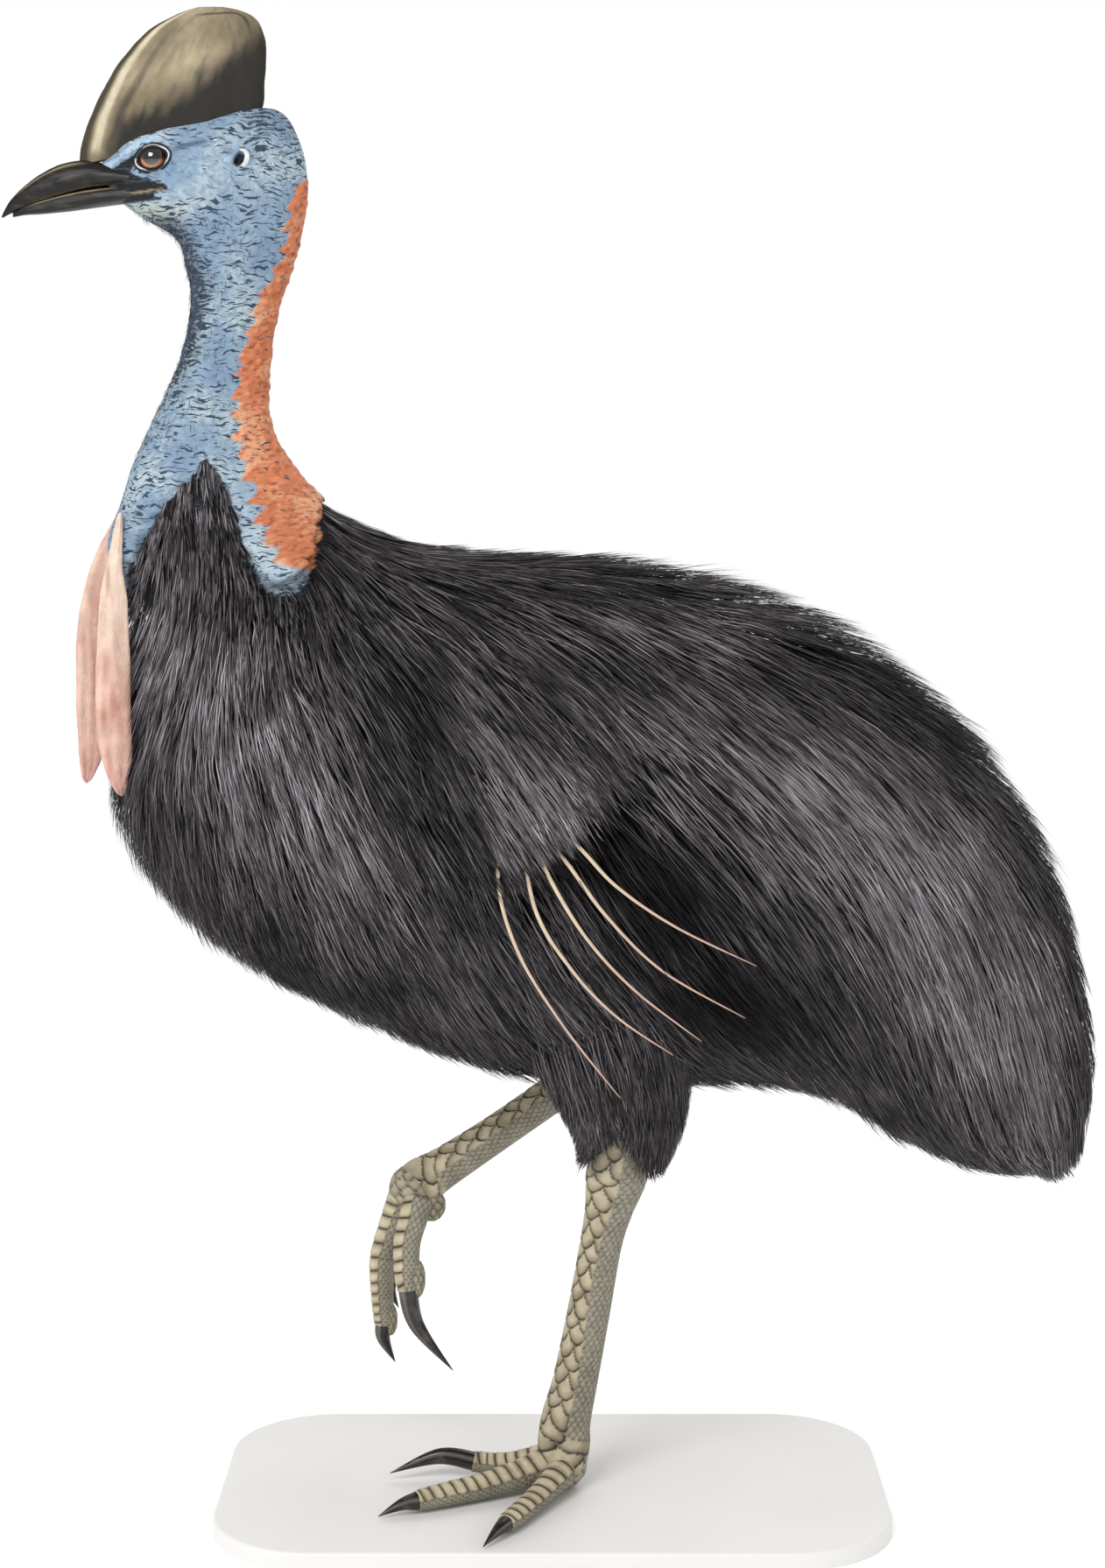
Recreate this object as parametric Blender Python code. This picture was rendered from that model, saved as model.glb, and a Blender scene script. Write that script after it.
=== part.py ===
# A life-size southern cassowary in mid-stride, on a plain display base.
# Metres, +Z up. The bird faces -X and its left side is -Y.
# The origin is the centre of the base's underside. Heights in the tables are in
# millimetres above the top of the base.
import math

import bmesh
import bpy
import numpy as np
from mathutils import Vector

MM = 0.001
GAP = 0.3 * MM
CLEAR = 0.4 * MM
BASE_LENGTH = 780 * MM
BASE_WIDTH = 440 * MM
BASE_THICK = 20 * MM
BASE_CORNER = 120 * MM
BASE_CHAMFER = 4 * MM

# Each station is a section of the body: its point on the back line, its point on the front or
# belly line, its half width and the depth of its plumage. The first ones are at the bill, the
# fan of sections then turns down the neck and back along the trunk to the rump.
# name, back x, back z, front x, front z, half width, plumage depth
BODY_STATIONS = (
    ("bill root", -510, 1524, -479, 1484, 16, 0),
    ("lores", -475, 1555, -459, 1470, 26, 0),
    ("eyes", -431, 1573, -439, 1459, 33, 0),
    ("crown", -382, 1581, -424, 1449, 37, 0),
    ("ears", -338, 1590, -415, 1434, 40, 0),
    ("occiput", -299, 1583, -412, 1418, 41, 0),
    ("nape", -277, 1536, -407, 1396, 39, 0),
    ("throat", -276, 1486, -407, 1374, 37, 0),
    ("upper neck", -289, 1427, -411, 1345, 35, 0),
    ("middle neck", -311, 1361, -421, 1310, 35, 0),
    ("lower neck", -320, 1299, -439, 1270, 38, 0),
    ("neck swell", -318, 1238, -464, 1219, 45, 0),
    ("neck root", -284, 1181, -482, 1171, 60, 4),
    ("collar", -230, 1137, -490, 1088, 88, 14),
    ("shoulder", -160, 1110, -487, 1003, 128, 30),
    ("wattle tips", -81, 1101, -500, 877, 170, 44),
    ("breast", -1, 1098, -490, 774, 198, 52),
    ("fore trunk", 84, 1091, -396, 657, 213, 52),
    ("middle trunk", 168, 1074, -240, 562, 221, 52),
    ("hips", 253, 1047, -67, 497, 221, 52),
    ("loin", 339, 1006, 96, 482, 212, 52),
    ("rump", 418, 948, 234, 480, 196, 52),
    ("rump slope", 488, 876, 326, 460, 176, 50),
    ("tail root", 544, 793, 393, 420, 152, 48),
    ("tail fall", 586, 698, 455, 390, 122, 44),
    ("tail hem", 613, 597, 511, 374, 90, 38),
    ("tail corner", 627, 505, 561, 372, 58, 30),
    ("tail end", 624, 446, 596, 386, 30, 18),
)
EGG = 0.12  # how far each section is narrower towards the back line than below it
HEAD_END = 7.0
NECK_MIDDLE = 9.5
NECK_LOW_END = 14.1
TRUNK_START = 11.6
TRUNK_END = 26.6

# The edge of the plumage on the lower neck, in profile. It rises to a peak on each side, and
# bare skin runs down in front of the peak and in a lobe behind it.
PLUMAGE_EDGE = (
    (-560, 940),
    (-473, 1071),
    (-383, 1206),
    (-343, 1103),
    (-317, 1063),
    (-282, 1060),
    (-263, 1092),
    (-258, 1200),
)

# Bill sections: top x, top z, bottom x, bottom z, half width.
BILL_UPPER = (
    (-436, 1511, -436, 1506, 29),
    (-471, 1522, -470, 1506, 25),
    (-502, 1530, -504, 1503, 20.5),
    (-522, 1533.5, -523, 1500, 17),
    (-549, 1529, -548, 1494, 14),
    (-574, 1517, -572, 1487, 10.5),
    (-594, 1502, -592, 1481, 7),
    (-608, 1487.5, -606, 1475, 3.5),
    (-617, 1472, -616, 1470, 1),
)
BILL_LOWER = (
    (-447, 1504, -450, 1491, 26),
    (-471, 1505, -476, 1486, 22.5),
    (-503, 1502, -506, 1482, 18.5),
    (-523, 1499, -527, 1479, 15.5),
    (-548, 1493, -551, 1476, 12),
    (-572, 1486, -575, 1474, 8.5),
    (-590, 1480, -591, 1473, 5.5),
    (-604, 1474.5, -604, 1471, 1.5),
)
NOSTRIL = (-549, 1508)
NOSTRIL_SIZE = (9, 4.5, 2.6)

# Casque sections from its foot to its crest: front x, front z, rear x, rear z, half width.
CASQUE = (
    (-528, 1527, -330, 1572, 14),
    (-527, 1545, -322, 1594, 15.5),
    (-517, 1576, -320, 1621, 18),
    (-501, 1609, -318, 1648, 17),
    (-481, 1641, -320, 1668, 13),
    (-451, 1673, -329, 1687, 9),
    (-417, 1692, -346, 1696, 5.5),
    (-393, 1700, -365, 1700, 2),
)

EYE = (-443, 1533)
EYE_RADIUS = 16
EYE_IN = 11.5  # how deep the eye's centre lies under the side of the head
LID_RADIUS = 14.8
LID_HEIGHT = 0.86
LID_THICK = 2.4
EAR = (-347, 1531)
EAR_RADIUS = 8.5

# Wattles: x, z, y, half width along X, half thickness along Y.
WATTLE_FOLD = 1.1
WATTLE_BULB = 0.8
WATTLE_LEFT = (
    (-474, 1166, -12, 6, 6),
    (-487, 1128, -18, 10, 7.5),
    (-493, 1050, -34, 14, 7),
    (-495, 980, -56, 16, 7.5),
    (-495, 910, -68, 16, 7),
    (-490, 860, -70, 13, 6),
    (-484, 826, -66, 5, 3),
)
WATTLE_RIGHT = (
    (-475, 1166, 14, 6, 6),
    (-491, 1130, 17, 9, 7),
    (-513, 1080, 18, 13, 7),
    (-528, 1020, 17, 15, 7.5),
    (-532, 940, 16, 15, 7),
    (-534, 870, 15, 12, 6),
    (-538, 830, 15, 4.5, 3),
)

# Feathered thighs: x, z, y, half depth along the stride, half width.
THIGH_LEFT = (
    (20, 690, -116, 112, 74),
    (48, 600, -112, 103, 72),
    (74, 520, -100, 82, 62),
    (84, 455, -82, 64, 50),
    (79, 402, -66, 46, 39),
)
THIGH_RIGHT = (
    (-120, 700, 112, 100, 70),
    (-30, 650, 128, 92, 66),
    (46, 590, 138, 74, 58),
    (100, 545, 138, 52, 46),
    (126, 520, 132, 36, 36),
)
THIGH_COAT = 11
THIGH_BARE = 3.4  # where the thigh's body ends and only its locks hang on over the hock

# The coat's locks, in millimetres. The trunk's and the thighs' differ only in size.
CORE = 0.5  # share of the plumage's depth from its tips in to the core that the locks grow from
LOCK_STEPS = (0.0, 0.36, 0.70, 1.0)
LOCK_UNDER = (0.78, 0.30, 0.16, 0.05)  # depth of the lock's middle line, as a share of the coat
LOCK_WIDTHS = (0.72, 1.0, 0.86)
LOCK_THICKS = (1.0, 0.8, 0.5)
TRUNK_LOCK = {"length": 235, "width": 84, "thick": 11, "along": 130, "across": 69}
THIGH_LOCK = {"width": 42, "thick": 6}
DROOP = 0.8
MOST_ASIDE = 45  # the furthest that a lock bends aside to pass a thigh
SEED = 7

# Shanks from the hock to the foot: x, z, y, half depth, half width.
SHANK_LEFT = (
    (80, 428, -72, 26, 24),
    (74, 388, -60, 35, 30),
    (65, 344, -54, 27.5, 24),
    (56, 300, -48, 24, 20.5),
    (42, 215, -38, 24.5, 20),
    (27, 132, -30, 26, 21.5),
    (16, 82, -26, 29, 25),
    (13, 48, -25, 30, 28),
    (11, 24, -25, 26, 28),
)
SHANK_RIGHT = (
    (132, 540, 140, 22, 20),
    (107, 517, 136, 32, 28),
    (67, 485, 130, 26, 23),
    (14, 447, 122, 22.5, 20),
    (-65, 393, 112, 22, 19),
    (-129, 352, 104, 24.5, 22),
    (-156, 336, 101, 28, 25),
    (-168, 325, 99, 27, 26),
)
SHANK_SCUTES = 13
SCUTE_RISE = 1.5

# Toes with their claws: x, z, y, half height, half width. The claw starts at CLAW_AT.
CLAW_AT = 4
TOES_LEFT = {
    "outer": (
        (15, 27, -40, 20, 17),
        (-1, 22, -70, 16, 15),
        (-19, 16.5, -104, 13, 13.5),
        (-36, 14.5, -137, 12, 12.5),
        (-51, 13, -165, 10.5, 11),
        (-62, 12, -186, 7, 7),
        (-77, 4, -211, 1.2, 1.2),
    ),
    "middle": (
        (-2, 30, -29, 22, 19),
        (-41, 22, -47, 17, 16),
        (-80, 17, -66, 14.5, 15),
        (-118, 15.5, -85, 13.5, 14),
        (-153, 14, -102, 11.5, 12),
        (-173, 13, -112, 7.5, 7.5),
        (-199, 4, -125, 1.2, 1.2),
    ),
    "inner": (
        (2, 30, -10, 20, 17),
        (-22, 26, -6, 15, 14.5),
        (-47, 20, -2, 13, 13.5),
        (-71, 18, 1, 12.5, 13),
        (-90, 20, 2, 12, 12),
        (-135, 27, 1, 10, 9),
        (-192, 10, -8, 1.2, 1.2),
    ),
}
TOES_RIGHT = {
    "outer": (
        (-158, 318, 113, 18.5, 17),
        (-179, 291, 129, 15, 14.5),
        (-195, 256, 140, 13, 13),
        (-200, 223, 144, 12, 12),
        (-200, 199, 146, 10.5, 10.5),
        (-199, 183, 147, 7, 7),
        (-190, 161, 149, 1.2, 1.2),
    ),
    "middle": (
        (-174, 326, 98, 22, 19),
        (-190, 290, 99, 17, 16),
        (-206, 240, 100, 15, 15),
        (-207, 196, 101, 13.5, 13.5),
        (-205, 160, 102, 12, 12),
        (-206, 138, 103, 9, 9),
        (-192, 107, 105, 1.2, 1.2),
    ),
    "inner": (
        (-160, 322, 84, 19, 17),
        (-167, 296, 74, 17, 15),
        (-174, 270, 68, 16, 14),
        (-175, 242, 64, 15, 13),
        (-174, 217, 62, 13, 12),
        (-163, 168, 61, 10, 9),
        (-120, 112, 60, 1.2, 1.2),
    ),
}
TOE_SCUTES = 6

# Stub wing: x, z, y, half depth, half thickness. Quills: their points x, z, lift off the flank.
WING = (
    (-92, 890, 16, 10),
    (-62, 856, 27, 15),
    (-28, 818, 31, 17),
    (4, 780, 24, 14),
    (20, 758, 10, 8),
)
WING_LIFT = 4
WING_RAISE = {-1: 0, 1: 45}  # the lifted right thigh holds that wing higher
QUILLS = (
    ((-50, 826), (-58, 752), (-36, 674), (12, 592), (74, 512)),
    ((-36, 816), (-18, 722), (22, 655), (70, 602), (131, 560)),
    ((-28, 812), (2, 748), (40, 688), (91, 631), (162, 575)),
    ((-22, 814), (14, 776), (58, 717), (119, 655), (209, 601)),
    ((-22, 824), (24, 795), (68, 750), (132, 705), (220, 660)),
)
QUILL_RADIUS = 2.3
QUILL_LIFT = 9
QUILL_LEAST = 197  # the quills hang straight down where the flank turns in under the belly

# name: red, green, blue, roughness
COLOURS = {
    "plumage": (0.018, 0.016, 0.020, 0.55),
    "blue_skin": (0.20, 0.42, 0.66, 0.55),
    "wattle_skin": (0.80, 0.52, 0.44, 0.55),
    "leg_skin": (0.52, 0.49, 0.36, 0.6),
    "casque_horn": (0.34, 0.28, 0.19, 0.45),
    "bill_horn": (0.045, 0.038, 0.034, 0.35),
    "claw_horn": (0.025, 0.022, 0.024, 0.3),
    "quill_horn": (0.74, 0.60, 0.42, 0.4),
    "eye": (0.10, 0.045, 0.015, 0.08),
    "base_lacquer": (0.80, 0.79, 0.76, 0.5),
}


def clear_scene():
    """Empties the scene that the script starts in."""
    for obj in list(bpy.data.objects):
        bpy.data.objects.remove(obj)


def material(name):
    """The Principled material of one of the named finishes, made once."""
    found = bpy.data.materials.get(name)
    if found:
        return found
    made = bpy.data.materials.new(name)
    made.use_nodes = True
    shader = made.node_tree.nodes["Principled BSDF"]
    red, green, blue, roughness = COLOURS[name]
    shader.inputs["Base Color"].default_value = (red, green, blue, 1)
    shader.inputs["Roughness"].default_value = roughness
    shader.inputs["Metallic"].default_value = 0
    return made


def spline(rows, t):
    """Smooth values between the rows of a table, at the places t counted in rows."""
    rows = np.asarray(rows, float)
    t = np.clip(np.atleast_1d(np.asarray(t, float)), 0, len(rows) - 1)
    i = np.minimum(t.astype(int), len(rows) - 2)
    f = (t - i)[:, None]
    before = rows[np.maximum(i - 1, 0)]
    start = rows[i]
    end = rows[i + 1]
    after = rows[np.minimum(i + 2, len(rows) - 1)]
    rise = end - before
    bend = 2 * before - 5 * start + 4 * end - after
    twist = 3 * start - before - 3 * end + after
    return start + 0.5 * (rise * f + bend * f**2 + twist * f**3)


def unit(vectors):
    """The vectors, each scaled to length one."""
    return vectors / np.maximum(np.linalg.norm(vectors, axis=-1, keepdims=True), 1e-12)


def section_points(row, a, under):
    """Points round sections that are given by two opposite points, a half width and a depth."""
    top = row[:, 0:2]
    bottom = row[:, 2:4]
    depth = under * row[:, 5]
    middle = (top + bottom) / 2
    half = (top - bottom) / 2
    reach = np.linalg.norm(half, axis=1)
    half = half * (1 - depth / reach)[:, None]
    across = (row[:, 4] - depth) * np.sin(a) * (1 - EGG * np.cos(a))
    flat = middle + half * np.cos(a)[:, None]
    height = flat[:, 1] * MM + BASE_THICK
    return np.stack([flat[:, 0] * MM, -across * MM, height], axis=1)


BODY = np.array([station[1:] for station in BODY_STATIONS], float)


def body_point(s, a, under=0.0):
    """Points of the body: s counts stations, a turns from the back line over the left side,
    and under is the share of the plumage's depth below its tips."""
    s, a = np.broadcast_arrays(np.atleast_1d(s), np.atleast_1d(a))
    return section_points(spline(BODY, s), a, under)


def body_frame(s, a, under=0.0):
    """Point, outward normal and direction towards the tail on the body's surface."""
    step = 0.02
    here = body_point(s, a, under)
    along = body_point(s + step, a, under) - body_point(s - step, a, under)
    round_it = body_point(s, a + step, under) - body_point(s, a - step, under)
    normal = unit(np.cross(round_it, along))
    return here, normal, unit(along)


def turned(count, phase=0.0):
    """Angles spaced evenly round a section."""
    return (np.arange(count) + phase) * 2 * math.pi / count


def body_rings(start, end, per_station, sides, under=0.0):
    """Rings of the body between two stations."""
    count = max(2, round((end - start) * per_station) + 1)
    angles = turned(sides)
    return [body_point(s, angles, under) for s in np.linspace(start, end, count)]


def flat_rings(stations, per_station, sides):
    """Rings of a bill or casque from its table of sections."""
    rows = np.array([(*row, 0) for row in stations], float)
    places = np.linspace(0, len(rows) - 1, (len(rows) - 1) * per_station + 1)
    return [section_points(spline(rows, np.full(sides, t)), turned(sides), 0) for t in places]


def path_frames(points, lead):
    """For each point of a path, the direction of its front and of its side."""
    along = unit(np.gradient(points, axis=0))
    lead = np.asarray(lead, float)
    front = unit(lead - (along @ lead)[:, None] * along)
    return front, np.cross(along, front)


def limb_rings(rows, lead, places, sides, relief=None):
    """Rings round a limb's path. rows are x, z, y, half depth to the front, half width.
    relief(place, angle) adds millimetres to the radius."""
    at = spline(rows, places)
    points = np.stack([at[:, 0], at[:, 2], at[:, 1]], axis=1) * MM
    points[:, 2] += BASE_THICK
    front, side = path_frames(points, lead)
    angles = turned(sides, 0.5)
    rings = []
    for k, place in enumerate(places):
        more = relief(place, angles) if relief else 0
        deep = ((at[k, 3] + more) * np.cos(angles) * MM)[:, None]
        wide = ((at[k, 4] + more) * np.sin(angles) * MM)[:, None]
        rings.append(points[k] + deep * front[k] + wide * side[k])
    return rings


def grown(rings, by):
    """The same rings pushed out by a small distance, ends included, for a cutter."""
    centres = [ring.mean(axis=0) for ring in rings]
    pushed = [ring + unit(ring - centre) * by for ring, centre in zip(rings, centres)]
    first = unit(centres[0] - centres[1]) * by
    last = unit(centres[-1] - centres[-2]) * by
    pushed[0] = pushed[0] + first
    pushed[-1] = pushed[-1] + last
    return pushed


def mesh_object(name, rings, finish, closed_loop=False):
    """A solid whose skin joins the rings one after the other, with flat ends."""
    work = bmesh.new()
    loops = [[work.verts.new(point) for point in ring] for ring in rings]
    pairs = list(zip(loops, loops[1:]))
    if closed_loop:
        pairs.append((loops[-1], loops[0]))
    for lower, upper in pairs:
        for k in range(len(lower)):
            j = (k + 1) % len(lower)
            work.faces.new((lower[k], lower[j], upper[j], upper[k]))
    if not closed_loop:
        work.faces.new(loops[0][::-1])
        work.faces.new(loops[-1])
    bmesh.ops.triangulate(work, faces=work.faces[:])
    if work.calc_volume(signed=True) < 0:
        bmesh.ops.reverse_faces(work, faces=work.faces[:])
    data = bpy.data.meshes.new(name)
    work.to_mesh(data)
    work.free()
    obj = bpy.data.objects.new(name, data)
    bpy.context.scene.collection.objects.link(obj)
    data.materials.append(material(finish))
    data.shade_smooth()
    data.set_sharp_from_angle(angle=math.radians(50))
    return obj


def combine(obj, pieces, operation):
    """Joins closed pieces to an object, or cuts them from it, and removes them."""
    if not pieces:
        return obj
    group = bpy.data.collections.new("pieces of " + obj.name)
    bpy.context.scene.collection.children.link(group)
    for piece in pieces:
        bpy.context.scene.collection.objects.unlink(piece)
        group.objects.link(piece)
    step = obj.modifiers.new(operation.title(), "BOOLEAN")
    step.operation = operation
    step.operand_type = "COLLECTION"
    step.collection = group
    step.solver = "MANIFOLD"
    graph = bpy.context.evaluated_depsgraph_get()
    made = bpy.data.meshes.new_from_object(obj.evaluated_get(graph))
    obj.modifiers.clear()
    old = obj.data
    made.name = obj.name
    obj.data = made
    bpy.data.meshes.remove(old)
    for piece in pieces:
        bpy.data.meshes.remove(piece.data)
    bpy.data.collections.remove(group)
    keep_largest(obj)
    return obj


def keep_largest(obj):
    """Keeps the closed surface that holds most, and drops sealed hollows and loose scraps."""
    work = bmesh.new()
    work.from_mesh(obj.data)
    left = set(work.faces)
    shells = []
    while left:
        shell = {left.pop()}
        edge = list(shell)
        while edge:
            face = edge.pop()
            near = {other for e in face.edges for other in e.link_faces} & left
            left -= near
            shell |= near
            edge.extend(near)
        shells.append(shell)
    if len(shells) > 1:
        shells.sort(key=len)
        dropped = [face for shell in shells[:-1] for face in shell]
        print(obj.name, "drops", len(shells) - 1, "shells,", len(dropped), "faces")
        bmesh.ops.delete(work, geom=dropped, context="FACES")
    work.to_mesh(obj.data)
    work.free()


def ball(name, centre, radii, finish, rings=12, sides=20):
    """A ball or an egg shape about a point."""
    work = bmesh.new()
    bmesh.ops.create_uvsphere(work, u_segments=sides, v_segments=rings, radius=1)
    bmesh.ops.scale(work, vec=Vector(radii) * MM, verts=work.verts)
    bmesh.ops.translate(work, vec=Vector(centre), verts=work.verts)
    bmesh.ops.triangulate(work, faces=work.faces[:])
    data = bpy.data.meshes.new(name)
    work.to_mesh(data)
    work.free()
    obj = bpy.data.objects.new(name, data)
    bpy.context.scene.collection.objects.link(obj)
    data.materials.append(material(finish))
    data.shade_smooth()
    return obj


def at(x, z, y):
    """A point from millimetres above the base."""
    return Vector((x * MM, y * MM, z * MM + BASE_THICK))


def make_base():
    """The display base, a flat slab with rounded corners and a chamfered top edge."""
    outline = []
    for corner in range(4):
        sign_x = (1, -1, -1, 1)[corner]
        sign_y = (1, 1, -1, -1)[corner]
        centre = Vector((sign_x * (BASE_LENGTH / 2 - BASE_CORNER), sign_y * (BASE_WIDTH / 2 - BASE_CORNER)))
        for step in range(7):
            turn = (corner + step / 6) * math.pi / 2
            outline.append(centre + BASE_CORNER * Vector((math.cos(turn), math.sin(turn))))
    inset = 1 - BASE_CHAMFER / (BASE_WIDTH / 2)
    levels = ((0, 1), (BASE_THICK - BASE_CHAMFER, 1), (BASE_THICK, inset))
    rings = [np.array([(p.x * k, p.y * k, z) for p in outline]) for z, k in levels]
    return mesh_object("stand_base", rings, "base_lacquer")


def upper_bill_rings():
    return flat_rings(BILL_UPPER, 1, 12)


def lower_bill_rings():
    return flat_rings(BILL_LOWER, 1, 12)


def make_bill():
    """Both halves of the bill. They meet along the line of the mouth, and the upper one has
    a slit nostril on each side."""
    lower = mesh_object("bill_lower", lower_bill_rings(), "bill_horn")
    upper = mesh_object("bill_upper", upper_bill_rings(), "bill_horn")
    slits = []
    for side in (-1, 1):
        centre = at(NOSTRIL[0], NOSTRIL[1], side * 12.5)
        slits.append(ball("slit", centre, NOSTRIL_SIZE, "bill_horn", 4, 8))
    combine(upper, slits, "DIFFERENCE")
    roof = mesh_object("roof", grown(upper_bill_rings(), CLEAR), "bill_horn")
    combine(lower, [roof], "DIFFERENCE")
    return upper, lower


def head_side_y(place, under_skin=0.0):
    """How far out the left side of the head is at a point x, z of the profile."""
    best = None
    for s in np.linspace(0, 8, 81):
        angles = np.linspace(0.2, math.pi - 0.2, 40)
        points = body_point(np.full(40, s), angles)
        gap = np.hypot(points[:, 0] - place[0] * MM, points[:, 2] - BASE_THICK - place[1] * MM)
        k = int(gap.argmin())
        if best is None or gap[k] < best[0]:
            best = (gap[k], -points[k, 1])
    return best[1] / MM - under_skin


def rim_rings(centre, radius, height, thick, bulge, count=12, sides=4):
    """A raised rim on the side of the head, as of a lid or an ear. centre is x, z, y in
    millimetres, and bulge carries the rim out over a ball of that radius."""
    side = 1 if centre[2] > 0 else -1
    rings = []
    for turn in turned(count):
        out = Vector((math.cos(turn), 0, math.sin(turn) * height))
        middle = Vector((centre[0], centre[2], centre[1])) + out * radius
        middle.y += side * bulge
        ring = []
        for angle in turned(sides):
            offset = out.normalized() * math.cos(angle) * thick
            offset.y = side * math.sin(angle) * thick
            point = middle + offset
            ring.append(at(point.x, point.z, point.y))
        rings.append(np.array(ring))
    return rings


def make_head():
    """The head with the rims of its lids and ears, and with sockets for the eyes."""
    head = mesh_object("head", body_rings(0, HEAD_END, 2, 20), "blue_skin")
    eye_y = head_side_y(EYE) - EYE_IN
    ear_y = head_side_y(EAR)
    raised = []
    sunk = []
    eyes = []
    for side, word in ((-1, "left"), (1, "right")):
        bulge = math.sqrt(EYE_RADIUS**2 - LID_RADIUS**2) + 1.6
        lid = rim_rings((EYE[0], EYE[1], side * eye_y), LID_RADIUS, LID_HEIGHT, LID_THICK, bulge)
        raised.append(mesh_object("lid", lid, "blue_skin", closed_loop=True))
        ear = rim_rings((EAR[0], EAR[1], side * ear_y), EAR_RADIUS, 1.1, 2.2, 0.4, 8)
        raised.append(mesh_object("ear rim", ear, "blue_skin", closed_loop=True))
        centre = at(EYE[0], EYE[1], side * eye_y)
        room = EYE_RADIUS + GAP / MM
        sunk.append(ball("socket", centre, (room,) * 3, "blue_skin", 8, 12))
        hole = at(EAR[0], EAR[1], side * (ear_y + 1))
        sunk.append(ball("ear hole", hole, (5.5, 8, 6.5), "blue_skin", 6, 8))
        eyes.append(ball("eye_" + word, centre, (EYE_RADIUS,) * 3, "eye", 8, 12))
    combine(head, raised, "UNION")
    sunk.append(mesh_object("upper room", grown(upper_bill_rings(), CLEAR), "blue_skin"))
    sunk.append(mesh_object("lower room", grown(lower_bill_rings(), CLEAR), "blue_skin"))
    combine(head, sunk, "DIFFERENCE")
    return head, eyes


def make_casque():
    """The helmet over the bill and crown, cut to sit on the head."""
    casque = mesh_object("casque", flat_rings(CASQUE, 1, 16), "casque_horn")
    head_room = mesh_object("head room", grown(body_rings(0, HEAD_END, 2, 20), CLEAR), "casque_horn")
    bill_room = mesh_object("bill room", grown(upper_bill_rings(), CLEAR), "casque_horn")
    return combine(casque, [head_room, bill_room], "DIFFERENCE")


def edge_prism(name, far_corners, lift=0.0):
    """A prism across the body between the plumage's edge and some corners beyond it."""
    reach = 400 * MM
    corners = [at(x, z + lift, 0) for x, z in PLUMAGE_EDGE] + [at(x, z, 0) for x, z in far_corners]
    rings = [np.array([(c.x, y, c.z) for c in corners]) for y in (-reach, reach)]
    return mesh_object(name, rings, "plumage")


def make_neck():
    """The bare neck in two lengths, the lower one notched for the plumage's peak."""
    apart = 0.004
    upper = mesh_object("neck_upper", body_rings(HEAD_END + apart, NECK_MIDDLE, 2, 20), "blue_skin")
    rings = body_rings(NECK_MIDDLE + apart, NECK_LOW_END, 2, 20, 1.0)
    lower = mesh_object("neck_lower", rings, "blue_skin")
    plumage_room = edge_prism("plumage room", ((-80, 1200), (-80, 800), (-560, 800)), 0.9)
    combine(lower, [plumage_room], "DIFFERENCE")
    return upper, lower


def wattle_relief(place, angle):
    """Lengthwise folds and soft bulbs down a wattle."""
    fold = WATTLE_FOLD * np.cos(3 * angle + 0.4 * place)
    bulb = WATTLE_BULB * np.cos(2 * math.pi * place / 1.5)
    return (fold + bulb) * min(6 - place, place, 1)


def wattle_rings(rows):
    """A hanging wattle, with shallow lengthwise folds and bulbs."""
    places = np.linspace(0, len(rows) - 1, 11)
    return limb_rings(rows, (-1, 0, 0), places, 9, wattle_relief)


def make_wattles():
    """The two wattles, cut to meet the front of the neck."""
    made = []
    for name, rows in (("wattle_left", WATTLE_LEFT), ("wattle_right", WATTLE_RIGHT)):
        wattle = mesh_object(name, wattle_rings(rows), "wattle_skin")
        neck = grown(body_rings(NECK_MIDDLE, NECK_LOW_END, 2, 20, 1.0), CLEAR)
        combine(wattle, [mesh_object("neck room", neck, "wattle_skin")], "DIFFERENCE")
        made.append(wattle)
    return made


def shank_relief(place, angle):
    """Overlapping scutes down the front of a shank, as a raised saw-tooth."""
    tooth = 1 - (place * SHANK_SCUTES / 7) % 1
    facing = np.clip(np.cos(angle), 0, 1) ** 0.5
    return SCUTE_RISE * tooth * facing


def banded_places(start, end, bands):
    """Two places for each scute: just after its raised edge and at its low end."""
    places = [start]
    for k in range(bands):
        low = start + (end - start) * k / bands
        high = start + (end - start) * (k + 1) / bands
        places += [low + 0.02 * (high - low), high - 0.06 * (high - low)]
    return np.array(places + [end])


def shank_rings(rows):
    """Rings of a shank, two for each scute."""
    bands = SHANK_SCUTES * (len(rows) - 1) // 7
    return limb_rings(rows, (-1, 0, 0), banded_places(0, len(rows) - 1, bands), 10, shank_relief)


def make_shanks():
    """The bare scaled shanks, from the hock to the ball of the foot."""
    left = mesh_object("shank_left", shank_rings(SHANK_LEFT), "leg_skin")
    right = mesh_object("shank_right", shank_rings(SHANK_RIGHT), "leg_skin")
    return left, right


def toe_relief(place, angle):
    """Scutes over the top of a toe. The claw beyond them is smooth and a little thinner."""
    if place > CLAW_AT:
        return -0.6
    tooth = 1 - (place * TOE_SCUTES / CLAW_AT) % 1
    facing = np.clip(np.cos(angle), 0, 1) ** 0.5
    return SCUTE_RISE * tooth * facing


def toe_parts(rows, lead):
    """Rings of a toe and of its claw, which starts a small gap beyond the toe's end."""
    toe_places = banded_places(0, CLAW_AT, TOE_SCUTES)
    claw_places = np.linspace(CLAW_AT, len(rows) - 1, 6)[1:]
    places = np.concatenate([toe_places, claw_places])
    rings = limb_rings(rows, lead, places, 8, toe_relief)
    seam = len(toe_places)
    ahead = rings[seam].mean(axis=0) - rings[seam - 1].mean(axis=0)
    first = rings[seam - 1] + GAP * ahead / np.linalg.norm(ahead)
    return rings[:seam], [first] + rings[seam:]


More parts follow.
